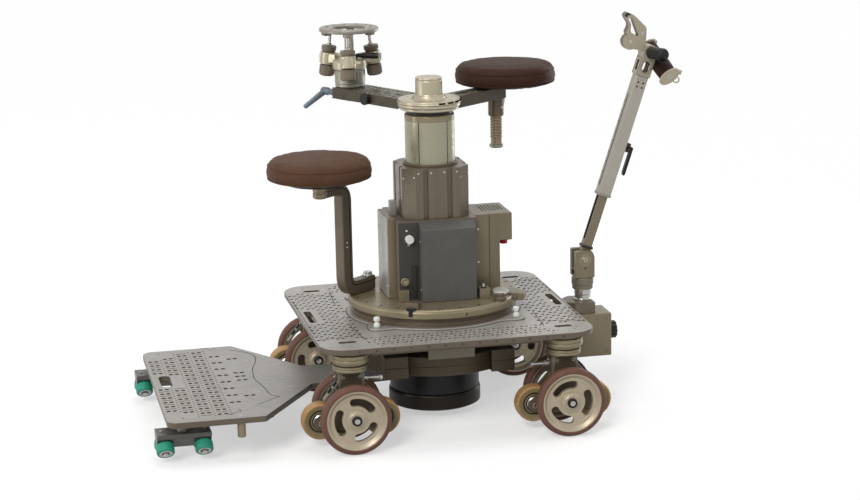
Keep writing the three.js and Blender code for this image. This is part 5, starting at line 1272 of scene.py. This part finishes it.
def make_high_post():
    at = Matrix.Rotation(seat_arm.turn, 4, "Z") @ Matrix.Translation((seat_arm.post_at, 0, 0))
    piece = Piece("high_post", "high_seat_post", ["high_seat_post"], "brown", at)
    profile = [(0, 755), (18, 755), (21, 758), (21, 764), (17, 767), (16.5, 785)]
    for i in range(8):
        z = 785 + 9 * i
        profile += [(16.5, z), (18.8, z + 2.5), (18.8, z + 5.5), (16.5, z + 8)]
    profile += [(16.5, 945.5), (0, 945.5)]
    clean = [profile[0]] + [p for q, p in zip(profile, profile[1:]) if p != q]
    piece.add(lathe(clean, 0.5, 56), BRONZE_TURNED)
    foot = [(0, 754.8), (17.5, 754.8), (21.3, 757.6), (21.3, 764.4), (16, 767.4), (0, 767.4)]
    piece.add(lathe(foot, 0.5, 56), SILVER)
    out = high_seat.at - seat_arm.post_at
    piece.add(block(-28, out, -28, 28, 945.3, 950.3, 1), DARK_STEEL)
    boss = [(0, 945.3), (38, 945.3), (40, 947), (40, 951), (38, 952.7), (0, 952.7)]
    piece.add(moved(lathe(boss, 0.6, 72), out), DARK_STEEL)
    piece.add(moved(rod(11, 24.6), out, 0, 946), STEEL)
    piece.build()


def bend_points(start, corner, end, steps=8):
    """Share of the way, point and direction along a rounded bend."""
    for i in range(steps + 1):
        t = i / steps
        point = tuple((1 - t) ** 2 * a + 2 * t * (1 - t) * b + t * t * c for a, b, c in zip(start, corner, end))
        along = Vector([(b - a) * (1 - t) + (c - b) * t for a, b, c in zip(start, corner, end)]).normalized()
        yield t, point, tuple(along)


def low_arm_band(inner, outer):
    """Outline between two shares of the arm's half depth, all along it."""
    low, high, out = low_arm.low, low_arm.high, low_arm.post_at
    half, top_half = low_arm.half_depth, low_arm.top_half_depth
    bend, top_bend = 44, 34
    centre = [((-18, low), (1, 0), half)]
    for _, point, along in bend_points((out - bend, low), (out, low), (out, low + bend)):
        centre.append((point, along, half))
    for t, point, along in bend_points((out, high - top_bend), (out, high), (out + top_bend, high)):
        centre.append((point, along, half + (top_half - half) * t))
    centre.append(((low_arm.seat_at - 8, high), (1, 0), top_half))
    first = [(p[0] - d[1] * r * outer, p[1] + d[0] * r * outer) for p, d, r in centre]
    second = [(p[0] - d[1] * r * inner, p[1] + d[0] * r * inner) for p, d, r in centre]
    return second + first[::-1]


def make_low_arm():
    at = Matrix.Translation((low_arm.x, low_arm.y, 0)) @ Matrix.Rotation(low_arm.turn, 4, "Z")
    piece = Piece("low_arm", "low_seat_arm", ["low_seat_arm"], "bronze", at)
    piece.add(along_y(low_arm_band(-1, 1), -17, 17, 4.5), BROWN)
    # On each face, a black strip as painted shade of a groove, and beside it a lighter bronze strip as a painted
    # highlight on the groove's edge
    for side in SIDES:
        face = sorted((side * 16.8, side * 17.2))
        piece.add(along_y(low_arm_band(0.36, 0.5), *face, 0), SHADE)
        piece.add(along_y(low_arm_band(0.5, 0.6), *face, 0), BRONZE)
    cap = [(0, 0), (17, 0), (17, 2.5), (13.5, 4), (13.5, 10), (11.5, 12), (0, 12)]
    piece.add(moved(lathe(cap, 1, 48), z=low_arm.low + low_arm.half_depth), STEEL)
    piece.add(moved(rod(9, 38), z=339.5), STEEL)
    socket = [
        (0, 684), (17, 684), (21, 688), (21, 700), (19.8, 701.5), (19.8, 704), (21, 705.5), (21, 743), (19, 745.7),
        (0, 745.7),
    ]
    piece.add(moved(lathe(socket, 0.8, 56), low_arm.seat_at), BRONZE_TURNED)
    piece.add(moved(rod(11, 66), low_arm.seat_at, 0, 697), STEEL)
    pan = [(21.5, 724), (40, 722), (96, 730), (104, 738), (104, 745.4), (21.5, 745.4)]
    piece.add(moved(lathe(pan, 2, 72), low_arm.seat_at), DRUM)
    for side in SIDES:
        for z in (520, 534):
            piece.bolt((low_arm.post_at + 6, side * 17, z), (0, side, 0), 2.6, 0.8, WHITE)
    piece.build()


# Cushions
def cushion_profile(shrink):
    """Half section of a round cushion, a little smaller than its space, from under its middle to its top."""
    r = seat.radius - shrink
    h = seat.height - shrink
    low = 1.0
    points = [(0, low), (112, low), (116, -4 + shrink / 2), (r - 13, -5 + shrink / 2), (r - 6, -2)]
    shoulder = h - seat.crown - seat.edge
    steps = 5
    for i in range(1, steps + 1):
        t = i / steps
        points.append((r - seat.draw * (2 * t - 1) ** 2, 2 + (shoulder - 2) * t))
    for i in range(1, 6):
        turn = QUARTER * i / 5
        points.append((r - seat.draw - seat.edge + math.cos(turn) * seat.edge, shoulder + math.sin(turn) * seat.edge))
    points += [(r * 0.55, h - 1.2), (0, h)]
    return points


def simulated(data, cap):
    """Lets the cushion swell under its own filling, and returns the mesh with no point moved further than cap."""
    scene = bpy.context.scene
    work = bpy.data.objects.new("cushion_work", data)
    scene.collection.objects.link(work)
    remesh = work.modifiers.new("remesh", "REMESH")
    remesh.mode = "VOXEL"
    remesh.voxel_size = 0.005
    even = bpy.data.meshes.new_from_object(work.evaluated_get(bpy.context.evaluated_depsgraph_get()))
    work.modifiers.clear()
    work.data = even
    start = [v.co.copy() for v in even.vertices]
    cloth = work.modifiers.new("cloth", "CLOTH")
    cloth.settings.use_pressure = True
    cloth.settings.uniform_pressure_force = 4
    cloth.settings.quality = 4
    cloth.settings.tension_stiffness = 30
    cloth.settings.effector_weights.gravity = 0
    cloth.point_cache.frame_start = 1
    cloth.point_cache.frame_end = 20
    for number in range(1, 21):
        scene.frame_set(number)
    swollen = bpy.data.meshes.new_from_object(work.evaluated_get(bpy.context.evaluated_depsgraph_get()))
    for vertex, rest in zip(swollen.vertices, start):
        shift = vertex.co - rest
        if shift.length > cap:
            vertex.co = rest + shift.normalized() * cap
    scene.frame_set(1)
    bpy.data.objects.remove(work)
    return swollen


def cushion_mesh():
    shape = lathe(cushion_profile(3), 0, 88)
    for vertex in shape.verts:
        angle = math.atan2(vertex.co.y, vertex.co.x)
        reach = math.hypot(vertex.co.x, vertex.co.y) / seat.radius
        if vertex.co.z > 20:
            vertex.co.z += reach * (0.4 * math.sin(3 * angle + 0.6) + 0.25 * math.sin(5 * angle))
    shape.transform(Matrix.Scale(MM, 4))
    data = bpy.data.meshes.new("cushion")
    shape.to_mesh(data)
    shape.free()
    data = simulated(data, 0.0035)
    widest = max(math.hypot(vertex.co.x, vertex.co.y) for vertex in data.vertices)
    fit = (seat.radius + 1) * MM / widest
    data.transform(Matrix.Diagonal((fit, fit, 1, 1)))
    return data


def reaches(data, height, steps=44):
    """Reach of the cushion in each direction near a height, evened out between neighbours."""
    found = [0.0] * steps
    for vertex in data.vertices:
        if abs(vertex.co.z / MM - height) < 6:
            step = round(math.atan2(vertex.co.y, vertex.co.x) / TURN * steps) % steps
            found[step] = max(found[step], math.hypot(vertex.co.x, vertex.co.y) / MM)
    return [(found[i - 1] + 2 * found[i] + found[(i + 1) % steps]) / 4 for i in range(steps)]


def seam(reach, height, thickness, count=132, sides=8):
    """Closed ring of welt cord that follows the reach in each direction."""
    shape = bmesh.new()
    rows = []
    for i in range(count):
        place = i * len(reach) / count
        first, part = int(place), place % 1
        radius = reach[first] * (1 - part) + reach[(first + 1) % len(reach)] * part - 0.9
        row = []
        for j in range(sides):
            out = radius + thickness * math.cos(TURN * j / sides)
            up = height + thickness * math.sin(TURN * j / sides)
            row.append(shape.verts.new((out * math.cos(TURN * i / count), out * math.sin(TURN * i / count), up)))
        rows.append(row)
    for row, following in zip(rows, rows[1:] + rows[:1]):
        for j in range(sides):
            k = (j + 1) % sides
            shape.faces.new((row[j], following[j], following[k], row[k]))
    bmesh.ops.recalc_face_normals(shape, faces=shape.faces)
    return shape


def make_cushion(name, body, node_name, slot_name, material, at, data):
    cushion_data = data.copy()
    cushion = bpy.data.objects.new(name, cushion_data)
    bpy.context.scene.collection.objects.link(cushion)
    cushion_data.materials.clear()
    cushion_data.materials.append(material)
    cushion_data.shade_smooth()
    cushion.matrix_world = Matrix.Translation(AXIS + Vector(at) * MM)
    smooth = cushion.modifiers.new("smooth", "SUBSURF")
    smooth.levels = 1
    smooth.render_levels = 1
    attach(cushion, body)
    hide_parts(node_name)
    welt = Piece(name + "_welt", body, [], slot_name, Matrix.Translation(at))
    for height, thickness in ((4, 1.5), (seat.height - seat.crown - seat.edge + 2, 1.2)):
        welt.add(seam(reaches(data, height), height, thickness), material)
    welt.add(lathe([(24, -0.3), (116, -0.3), (117, 0.6), (116, 1.4), (24, 1.4)], 0.3, 72), DRUM)
    welt.build()


# Levelling head
def arm_point(along, side, z):
    c, s = math.cos(arm.turn), math.sin(arm.turn)
    return Vector((c * along - s * side, s * along + c * side, z))


HEAD = Matrix.Translation(arm_point(head.at, 0, arm.top))


def screw_turn(index):
    return head.first_turn + TURN * index / 3


def screw_place(index):
    turn = Matrix.Rotation(screw_turn(index), 4, "Z")
    return turn @ Matrix.Translation((head.screw_reach, 0, head.lug_middle)) @ Matrix.Rotation(-head.splay, 4, "Y")


def make_head_base():
    piece = Piece("head_body", "camera_arm", ["head_base"], "bronze", HEAD)
    base = [
        (0, 0.3), (43, 0.3), (46, 3), (46, 9), (44.5, 10), (44.5, 12), (47, 13), (47, 50), (45, 52), (45, 56), (0, 56),
    ]
    bowl = [
        (0, 56), (50, 56), (53, 58), (53, 76), (50, 83), (44, 86.5), (24, 87), (22, 90), (14, 91),
        (14, head.plate_low), (0, head.plate_low),
    ]
    lug = [(9.6, -19), (22, -19), (25, -17), (25, 17), (22, 19), (9.6, 19)]
    piece.add(lathe(base, 0.8, 96), BLUE_STEEL)
    piece.add(lathe(bowl, 1, 96), PALE_BRONZE)
    piece.add(block(-15, 15, -49, -40, 16, 48, 2), OLIVE)
    for i in range(3):
        turn = screw_turn(i)
        piece.add(moved(block(40, 82, -20, 20, 71, 99, 3), turn=turn), PALE_BRONZE)
        piece.add(lathe(lug, 1, 56), PALE_BRONZE, at=screw_place(i))
        for side in SIDES:
            ear = block(86, 101, side * 10, side * 19, 74, 98, 2)
            piece.add(moved(ear, turn=turn), PALE_BRONZE)
        piece.bolt(polar(60, turn, 99), UP, 4, 1.5, STEEL)
    for i in range(6):
        angle = TURN * (i + 0.2) / 6
        piece.bolt(polar(47, angle, 30), polar(1, angle, 0), 4, 1, STEEL)
    piece.build()


def make_head_ring():
    piece = Piece("head_plate", "camera_arm", ["head_ring"], "silver", HEAD)
    ring = [(50, 171), (89, 171), (91, 173), (91, 180), (88, 183), (56, 183), (50, 180)]
    foot = [(0, 161), (12, 161), (13, 163), (13, 171.4), (0, 171.4)]
    hub_plate = [(0, 161.2), (22, 161.2), (22, 172), (0, 172)]
    piece.add(lathe(ring, 1, FINE_ROUND), SILVER)
    for i in range(3):
        turn = screw_turn(i)
        piece.add(moved(block(0, 88, -11, 11, 162, 171.6, 2), turn=turn), BRONZE)
        piece.add(moved(lathe(foot, 0.8, 40), *polar(head.screw_reach, turn)), SILVER)
        piece.add(moved(block(66, 88, -12, 12, 163, 171.4, 2), turn=turn + TURN / 6), BRONZE)
    piece.add(lathe(hub_plate, 1, 56), BRONZE_TURNED)
    piece.bolt_circle(12, 70, 182.7, 4, 0.8, DARK_STEEL, 0)
    piece.build()


def make_head_handle():
    piece = Piece("head_handle", "head_lock_handle", ["head_lock_handle"], "black", HEAD)
    turn = -0.0833 * TURN
    collar = [(15, 87.4), (25, 87.4), (26, 89), (26, 96), (24, 97.4), (15, 97.4)]
    piece.add(lathe(collar, 0.8, 56), DARK_STEEL)
    grip = lathe([(0, 0), (6, 0), (6, 16), (8, 18), (9, 26), (9, 60), (7.5, 66), (0, 67)], 1.5, 40)
    start, end = Vector(polar(22, turn, 96.4)), Vector(polar(96, turn, 96.4))
    run = end - start
    piece.add(grip, BLACK, at=aim(start, run) @ Matrix.Scale(run.length / 67, 4, UP))
    piece.build()


def make_screw(index):
    name = "levelling_screw_" + str(index + 1)
    piece = Piece(name + "_dressed", name, [name], "steel", HEAD @ screw_place(index))
    knob_core = [(0, -55.3), (21, -55.3), (22.5, -52), (22.5, -24), (17, -19.3), (0, -19.3)]
    collar_core = [(0, 19.3), (19, 19.3), (20, 24), (20, 36), (14, 38.3), (0, 38.3)]
    rise = (head.plate_low - head.lug_middle - math.sin(head.splay) * 5) / math.cos(head.splay)
    piece.add(prism(fluted(24, 1.8, 24, 6), -52, -24, 1.2), KNURL)
    piece.add(lathe(knob_core, 1, 56), KNURL)
    piece.add(moved(rod(9, 60, 0.5), z=-40), STEEL)
    piece.add(prism(fluted(23, 1.5, 24, 6), 24, 37, 1.2), KNURL)
    piece.add(lathe(collar_core, 1, 48), KNURL)
    piece.add(lathe([(0, 38), (7.5, 38), (7.5, 44), (5, 46), (5, rise), (0, rise)], 0.4, 32), STEEL)
    piece.build()


# Steering gear and push bar
def make_steering_box():
    piece = Piece("steering_gear", "chassis", ["steering_box"], "bronze")
    piece.add(block(405, 544, -60, 46, 132, 266, 4), BRONZE)
    piece.add(block(252, 411, -45, 45, 196, 289.7, 2), BROWN)
    c = 26
    outline = [(406, -48 + c), (406 + c, -48), (496, -48), (496, 48), (406 + c, 48), (406, 48 - c)]
    piece.add(prism(outline, 262, 301, 2.5, [circle(steer.x, 0, 19, 40)], True), BROWN)
    piece.add(prism(fluted(27, 3, 10, 8), 4, 30, 3), BLACK, at=aim((544, 0, 198), (1, 0, 0)))
    piece.add(bar((543, 0, 198), (549, 0, 198), 18), DARK_STEEL)
    for x in (420, 528):
        for z in (148, 250):
            piece.bolt((x, -60, z), (0, -1, 0), 5, 1, BRONZE)
            piece.bolt((x, 46, z), (0, 1, 0), 5, 1, STEEL)
    for y in (-42, 30):
        for z in (150, 246):
            piece.bolt((544, y, z), (1, 0, 0), 5, 1, STEEL)
    for i in range(4):
        angle = TURN * (i + 0.5) / 4
        piece.bolt((steer.x + 30 * math.cos(angle), 34 * math.sin(angle), 301), UP, 4, 1, STEEL)
    piece.build()


def make_neck():
    piece = Piece("neck", "steering", ["steering_neck"], "bronze", Matrix.Translation((steer.x, 0, 0)))
    lower = [
        (0, 277.4), (18, 277.4), (18, 301.3), (27, 301.3), (27, 305), (24, 307), (24, 318), (25, 320), (25, 336),
        (0, 336),
    ]
    piece.add(lathe(lower, 0.8, 72), STEEL)
    collar = [(0, 336), (31.5, 336), (31.5, 349), (33.5, 351), (33.5, 370), (30, 374), (0, 374)]
    piece.add(lathe(collar, 1, 72), OLIVE)
    cheek = soften([(-30, 374), (30, 374), (30, 440), (22, 458), (-30, 458)], 5)
    piece.add(block(-29.5, 29.5, -31.5, 31.5, 374, 399, 1.5), BRONZE)
    for side in SIDES:
        piece.add(along_y(cheek, *sorted((side * 15.6, side * 32)), 2), BRONZE)
        pin = [(0, 0), (20, 0), (20, 1.4), (11, 1.6), (9, 3), (0, 3)]
        piece.add(lathe(pin, 0.4, 48), BRONZE_TURNED, at=aim((0, side * 31.8, steer.pivot_height), (0, side, 0)))
        piece.bolt((0, side * 34, steer.pivot_height), (0, side, 0), 6, 2, STEEL)
        piece.bolt((0, side * 32, 404), (0, side, 0), 3, 0.8, DARK_STEEL)
    piece.add(bar((0, -31, steer.pivot_height), (0, 31, steer.pivot_height), 8), STEEL)
    # Black block on the clevis's near face: painted shade of a window
    piece.add(block(-30.5, -28, -11, 11, 382, 396, 1), SHADE)
    piece.build()


BAR = Matrix.Translation((steer.x, 0, steer.pivot_height)) @ Matrix.Rotation(steer.lean, 4, "Y")


def make_lower_bar():
    piece = Piece("lower_bar", "push_bar", ["push_bar_lower"], "brown", BAR)
    side = arc(0, 0, 16.6, math.pi, TURN, 16) + [(14, 30), (-14, 30)]
    piece.add(along_y(side, -14.6, 14.6, 1.2), BRONZE)
    piece.add(block(-14, 14, -15, 15, 28, 381, 2), BRONZE)
    # Black strip along the bar: painted shade of a groove
    piece.add(block(-15, -13.4, -6, 6, 60, 360, 0.5), SHADE)
    collar = soften(rectangle(-18, 18, -19, 19), 4)
    piece.add(prism(collar, 34, 42, 1.5), DARK_STEEL)
    piece.build()


def make_upper_bar():
    piece = Piece("upper_bar", "push_bar_head", ["push_bar_upper"], "silver", BAR)
    outline = soften(rectangle(-20, 20, -21, 21), 4)
    inner = rectangle(-14.6, 14.6, -15.6, 15.6)
    piece.add(prism(outline, 201, bar_top, 1.2, [inner], True), SILVER_BAR)
    piece.add(prism(rectangle(-15, 15, -16, 16), bar_top - 8, bar_top - 0.2, 0.5), SILVER_BAR)
    mouth = soften(rectangle(-21.5, 21.5, -22.5, 22.5), 5)
    piece.add(prism(mouth, 201, 209, 1.2, [inner], True), SILVER)
    for side in SIDES:
        piece.add(block(19.5, 36, *sorted((side * 7.4, side * 10)), 348, 376, 1), DARK_STEEL)
    piece.add(bar((bar_lever.out, -10, bar_lever.up), (bar_lever.out, 10, bar_lever.up), 4), STEEL)
    for z in (548, 562):
        for side in SIDES:
            piece.bolt((side * 8, -21, z), (0, -1, 0), 3, 0.8, DARK_STEEL)
    # Black strip along the bar's side: painted shade of a groove
    piece.add(block(-20.6, -19, -2, 2, 230, 520, 0.3), SHADE)
    for step in range(9):
        piece.bolt((-20, 12, 240 + step * 32), (-1, 0, 0), 2.4, 0.5, DARK_STEEL)
    piece.build()


def make_bar_lever():
    at = BAR @ Matrix.Translation((bar_lever.out, 0, bar_lever.up))
    piece = Piece("bar_lever", "push_bar_lever", ["push_bar_lever"], "black", at)
    side = [
        (-6.5, -4), (-6.5, 5), (0, 7.6), (17, 4.5), (19, 2), (19, -80), (16, -86), (12, -84), (10, -76), (10, -8),
        (0, -7.6),
    ]
    piece.add(along_y(soften(side, 3), -7, 7, 1.5), BLACK)
    piece.build()


def grip_point(side, past=0.0):
    """Point on the cross grip's axis in the push bar's frame; side -1 is its near end."""
    return Vector((40, 0, bar_top + 55.5)) + (GRIP_RUN + GRIP_RUN.normalized() * past) * side


def oval(half_depth, half_height, steps=40):
    return [(half_depth * math.cos(TURN * i / steps), half_height * math.sin(TURN * i / steps)) for i in range(steps)]


def grip_frame(point):
    """Frame with Z along the grip, and Y along the tall side of its oval, which leans outward."""
    along = GRIP_RUN.normalized()
    outward = Vector((1, 0, 0))
    tall = along.cross(outward).normalized()
    basis = Matrix((outward, tall, along)).transposed().to_4x4()
    return Matrix.Translation(point) @ basis @ Matrix.Rotation(math.radians(34), 4, "Z")


def handle_box(piece):
    """Open box on the bar with a rounded top and a knob."""
    z0 = bar_top + CLEAR
    top = z0 + 56
    window = slot(34, 22, 0, z0 + 29, QUARTER)
    for side in SIDES:
        across, lengthwise = sorted((side * 18, side * 25)), sorted((side * 15, side * 21.6))
        face, end = rectangle(-22, 22, z0, top), rectangle(-24.6, 24.6, z0, top)
        # Side faces take brown: painted shade
        piece.add(along_y(face, *across, 1.5, [window], True), PALE_SILVER, BROWN, 1)
        piece.add(along_x(end, *lengthwise, 1.5, [window], True), PALE_SILVER, BROWN, 0)
    piece.add(block(-21.5, 21.5, -24.5, 24.5, z0, z0 + 9, 1.5), PALE_SILVER)
    arch = arc(0, bar_top + 76, 21.6, 0, math.pi, 20) + [(-21.6, top - 6), (21.6, top - 6)]
    piece.add(along_y(arch, -24.5, 24.5, 2), PALE_SILVER)
    knob = lathe([(0, 0), (17, 0), (19, 3), (18.5, 20), (19.5, 60), (17, 66), (12, 69), (0, 70)], 2, 56)
    piece.add(knob, BLACK, at=aim((0, -24, bar_top + 76), (24, -67, 7)))


def handle_plate(piece):
    """Curved plate with an opening, drawn in shares of its width and height."""
    foot = bar_top + 64
    outer = [
        (-0.18, 0.1), (-0.2, 0.42), (-0.29, 0.78), (-0.74, 1.02), (-0.95, 1.05), (-1, 0.93), (-0.96, 0.87),
        (-0.8, 0.72), (-0.79, 0.6), (-0.82, 0.48), (-0.5, 0.05),
    ]
    inner = [(-0.87, 0.89), (-0.73, 0.73), (-0.7, 0.56), (-0.6, 0.43), (-0.44, 0.47), (-0.76, 0.92)]
    outline = soften([(x * 112, foot + z * 102) for x, z in outer], 7)
    hole = soften([(x * 112, foot + z * 102) for x, z in inner], 4)
    # Side faces take brown: painted shade
    piece.add(along_y(outline, -14, 14, 2, [hole], True), PALE_SILVER, BROWN, 1)
    piece.add(along_y(circle(-68, bar_top + 89, 25, 40), -13.4, 13.4, 2.5), PALE_SILVER, BROWN, 1)
    for x, z in ((-68, bar_top + 89), (-96, bar_top + 158), (-40, bar_top + 124)):
        for side in SIDES:
            piece.bolt((x, side * 14, z), (0, side, 0), 5, 1, STEEL)
    tip = [(-112, foot + 93), (-106, foot + 106), (-92, foot + 103), (-98, foot + 90)]
    piece.add(along_y(soften(tip, 4), -14.6, 14.6, 1.5), DARK_STEEL)


def handle_ends(piece):
    """Saddle, core and end plates of the cross grip, with the hook and ring at its near end."""
    saddle = bar_top + 55.5
    piece.add(block(18, 40, -11, 11, saddle - 11, saddle + 11, 2), PALE_SILVER)
    piece.add(bar(grip_point(-1, 1), grip_point(1, 1), 8), STEEL)
    for side in SIDES:
        plate = prism(oval(19, 34), *sorted((0, side * 9)), 2.5)
        piece.add(plate, PALE_SILVER, at=grip_frame(grip_point(side, 0.4)))
        piece.bolt(grip_point(side, 9), GRIP_RUN * side, 6, 1, STEEL)
    near = grip_point(-1, 9)
    piece.add(block(56, 72, near.y, near.y + 8.6, near.z + 15, near.z + 29, 2.5), PALE_SILVER)
    ring = [(7, -2), (11, -2), (11, 2), (7, 2)]
    piece.add(lathe(ring, 0.8, 32), PALE_SILVER, at=aim((62, near.y + 3, near.z - 2), (0.3, 1, 0.2)))


def make_handle():
    piece = Piece("handle", "push_bar_head", ["handle_frame"], "silver", BAR)
    handle_box(piece)
    handle_plate(piece)
    handle_ends(piece)
    piece.build()


def grip_swell(t):
    """Share of the grip's thickness at a share of its length."""
    return 1 - 0.06 * (2 * t - 1) ** 2


def make_grip():
    piece = Piece("cross_grip", "push_bar_head", ["handle_grip"], "grip_leather", BAR)
    span = (grip_point(1) - grip_point(-1)).length
    shape = bmesh.new()
    sides, rings = 40, 48
    rows = []
    for k in range(rings + 1):
        t = k / rings
        swell = grip_swell(t) - (0.1 if k in (0, rings) else 0)
        rows.append([shape.verts.new((x * swell, y * swell, t * span)) for x, y in oval(15, 28, sides)])
    for lower, upper in zip(rows, rows[1:]):
        for i in range(sides):
            j = (i + 1) % sides
            shape.faces.new((lower[i], lower[j], upper[j], upper[i]))
    shape.faces.new(rows[0])
    shape.faces.new(rows[-1])
    bmesh.ops.recalc_face_normals(shape, faces=shape.faces)
    shape.transform(grip_frame(grip_point(-1)))
    piece.add(shape, GRIP_LEATHER)
    for k in range(24):
        t = (k + 0.5) / 24
        spot = grip_point(-1) + (grip_point(1) - grip_point(-1)) * t
        reach = 15 * grip_swell(t)
        piece.add(block(reach - 0.5, reach + 0.7, -0.7, 0.7, -2.4, 2.4, 0.2), STITCH, at=grip_frame(spot))
    piece.build()


# Camera, floor and light
def make_camera():
    """Camera at the photograph's angle, for a frame 860 wide and 500 high."""
    image_width, focal_pixels, sensor = 860, 2270.08, 36
    yaw, pitch, roll = math.radians(12.170), math.radians(13.170), math.radians(-1.1475)
    forward = Vector((math.sin(yaw) * math.cos(pitch), math.cos(yaw) * math.cos(pitch), -math.sin(pitch)))
    level = Vector((math.cos(yaw), -math.sin(yaw), 0))
    upward = level.cross(forward)
    right = level * math.cos(roll) + upward * math.sin(roll)
    top = upward * math.cos(roll) - level * math.sin(roll)
    data = bpy.data.cameras.new("photo_camera")
    data.sensor_width = sensor
    data.sensor_fit = "HORIZONTAL"
    data.lens = focal_pixels * sensor / image_width
    data.clip_end = 200
    camera = bpy.data.objects.new("photo_camera", data)
    bpy.context.scene.collection.objects.link(camera)
    place = Matrix((right, top, -forward)).transposed().to_4x4()
    place.translation = AXIS + Vector((-1.40525, -6.48876, 2.04067))
    camera.matrix_world = place
    bpy.context.scene.camera = camera


def empty_tree(owner):
    owner.use_nodes = True
    owner.node_tree.nodes.clear()
    return owner.node_tree


def tree_node(tree, kind, **values):
    """New node with values for its named inputs."""
    node = tree.nodes.new("ShaderNode" + kind)
    for name, value in values.items():
        node.inputs[name].default_value = value
    return node


def seen_ray(tree):
    """1 for rays from the camera, in reflections and through glass, and 0 for light."""
    path = tree_node(tree, "LightPath")
    first, second = tree_node(tree, "Math"), tree_node(tree, "Math")
    first.operation = second.operation = "MAXIMUM"
    tree.links.new(path.outputs["Is Camera Ray"], first.inputs[0])
    tree.links.new(path.outputs["Is Glossy Ray"], first.inputs[1])
    tree.links.new(first.outputs[0], second.inputs[0])
    tree.links.new(path.outputs["Is Transmission Ray"], second.inputs[1])
    return second.outputs[0]


def make_world(light_level):
    """White for the camera, and a dimmer, cooler light for the object."""
    world = bpy.data.worlds.new("studio")
    bpy.context.scene.world = world
    tree = empty_tree(world)
    light = tree_node(tree, "Background", Color=(0.95, 0.97, 1, 1), Strength=light_level)
    white = tree_node(tree, "Background", Color=(1, 1, 1, 1), Strength=1)
    mix, out = tree_node(tree, "MixShader"), tree_node(tree, "OutputWorld")
    tree.links.new(seen_ray(tree), mix.inputs[0])
    tree.links.new(light.outputs[0], mix.inputs[1])
    tree.links.new(white.outputs[0], mix.inputs[2])
    tree.links.new(mix.outputs[0], out.inputs["Surface"])


def make_floor(glow):
    """Pale floor that shows white and keeps the shadow."""
    material = bpy.data.materials.new("floor")
    tree = empty_tree(material)
    pale = tree_node(tree, "BsdfDiffuse", Color=(0.5, 0.5, 0.5, 1))
    shine, strength = tree_node(tree, "Emission"), tree_node(tree, "Math")
    strength.operation = "MULTIPLY"
    strength.inputs[1].default_value = glow
    tree.links.new(seen_ray(tree), strength.inputs[0])
    tree.links.new(strength.outputs[0], shine.inputs["Strength"])
    total, out = tree_node(tree, "AddShader"), tree_node(tree, "OutputMaterial")
    tree.links.new(pale.outputs[0], total.inputs[0])
    tree.links.new(shine.outputs[0], total.inputs[1])
    tree.links.new(total.outputs[0], out.inputs["Surface"])
    half = 40
    data = bpy.data.meshes.new("floor")
    data.from_pydata([(-half, -half, 0), (half, -half, 0), (half, half, 0), (-half, half, 0)], [], [(0, 1, 2, 3)])
    data.materials.append(material)
    floor = bpy.data.objects.new("floor", data)
    floor.location.z = -0.001
    bpy.context.scene.collection.objects.link(floor)


def sun(name, direction, strength, spread, colour=(1, 1, 1)):
    data = bpy.data.lights.new(name, "SUN")
    data.energy = strength
    data.angle = math.radians(spread)
    data.color = colour
    lamp = bpy.data.objects.new(name, data)
    lamp.rotation_euler = (-Vector(direction)).to_track_quat("-Z", "Y").to_euler()
    bpy.context.scene.collection.objects.link(lamp)


def strip_lamp(name, place, power):
    data = bpy.data.lights.new(name, "AREA")
    data.shape = "RECTANGLE"
    data.size = 0.22
    data.size_y = 2.2
    data.energy = power
    lamp = bpy.data.objects.new(name, data)
    lamp.location = place
    lamp.rotation_euler = (Vector((0, 0, 0.8)) - Vector(place)).to_track_quat("-Z", "Y").to_euler()
    bpy.context.scene.collection.objects.link(lamp)


def make_lights():
    sun("key", (-0.45, -0.64, 0.62), 1.9, 24, (1, 0.985, 0.96))
    sun("top", (0.1, 0.15, 0.98), 0.9, 36)
    sun("fill", (0.71, -0.58, 0.41), 0.35, 30, (0.96, 0.98, 1))
    strip_lamp("left_strip", (-3.4, -0.2, 1.2), 24)
    strip_lamp("right_strip", (2.6, 1.9, 1.2), 20)


def make_base():
    """Everything below the turntable."""
    make_deck()
    make_belly()
    make_platform()
    make_steering_box()
    for x_side, end in ((-1, "front"), (1, "rear")):
        make_corner(end + "_near", x_side, -1, WHEEL_SLOTS[x_side])
    for x_side, end in ((-1, "front"), (1, "rear")):
        make_corner(end + "_far", x_side, 1, WHEEL_SLOTS[-x_side])
    make_skate("near", -1)
    make_skate("far", 1)


def make_column():
    make_turntable()
    make_housing()
    make_cover()
    make_control_box()
    make_button()
    make_sleeve()
    make_tube()


def make_arms():
    make_camera_arm()
    make_arm_lever()
    make_seat_arm()
    make_high_post()
    make_low_arm()


def make_cushions():
    data = cushion_mesh()
    x, y = polar(low_arm.seat_at, low_arm.turn)
    low_centre = (low_arm.x + x, low_arm.y + y, low_arm.underside)
    high_centre = polar(high_seat.at, seat_arm.turn, high_seat.underside)
    for place, leather, centre in (("low", LOW_LEATHER, low_centre), ("high", HIGH_LEATHER, high_centre)):
        body = place + "_seat"
        make_cushion(place + "_cushion", body, body + "_cushion", body + "_leather", leather, centre, data)


def make_head():
    make_head_base()
    make_head_ring()
    make_head_handle()
    for index in range(3):
        make_screw(index)


def make_push_bar():
    make_neck()
    make_lower_bar()
    make_upper_bar()
    make_bar_lever()
    make_handle()
    make_grip()


bpy.context.scene.view_settings.view_transform = "Standard"
make_camera()
make_world(0.3)
make_floor(0.5)
make_lights()
make_base()
make_column()
make_arms()
make_cushions()
make_head()
make_push_bar()
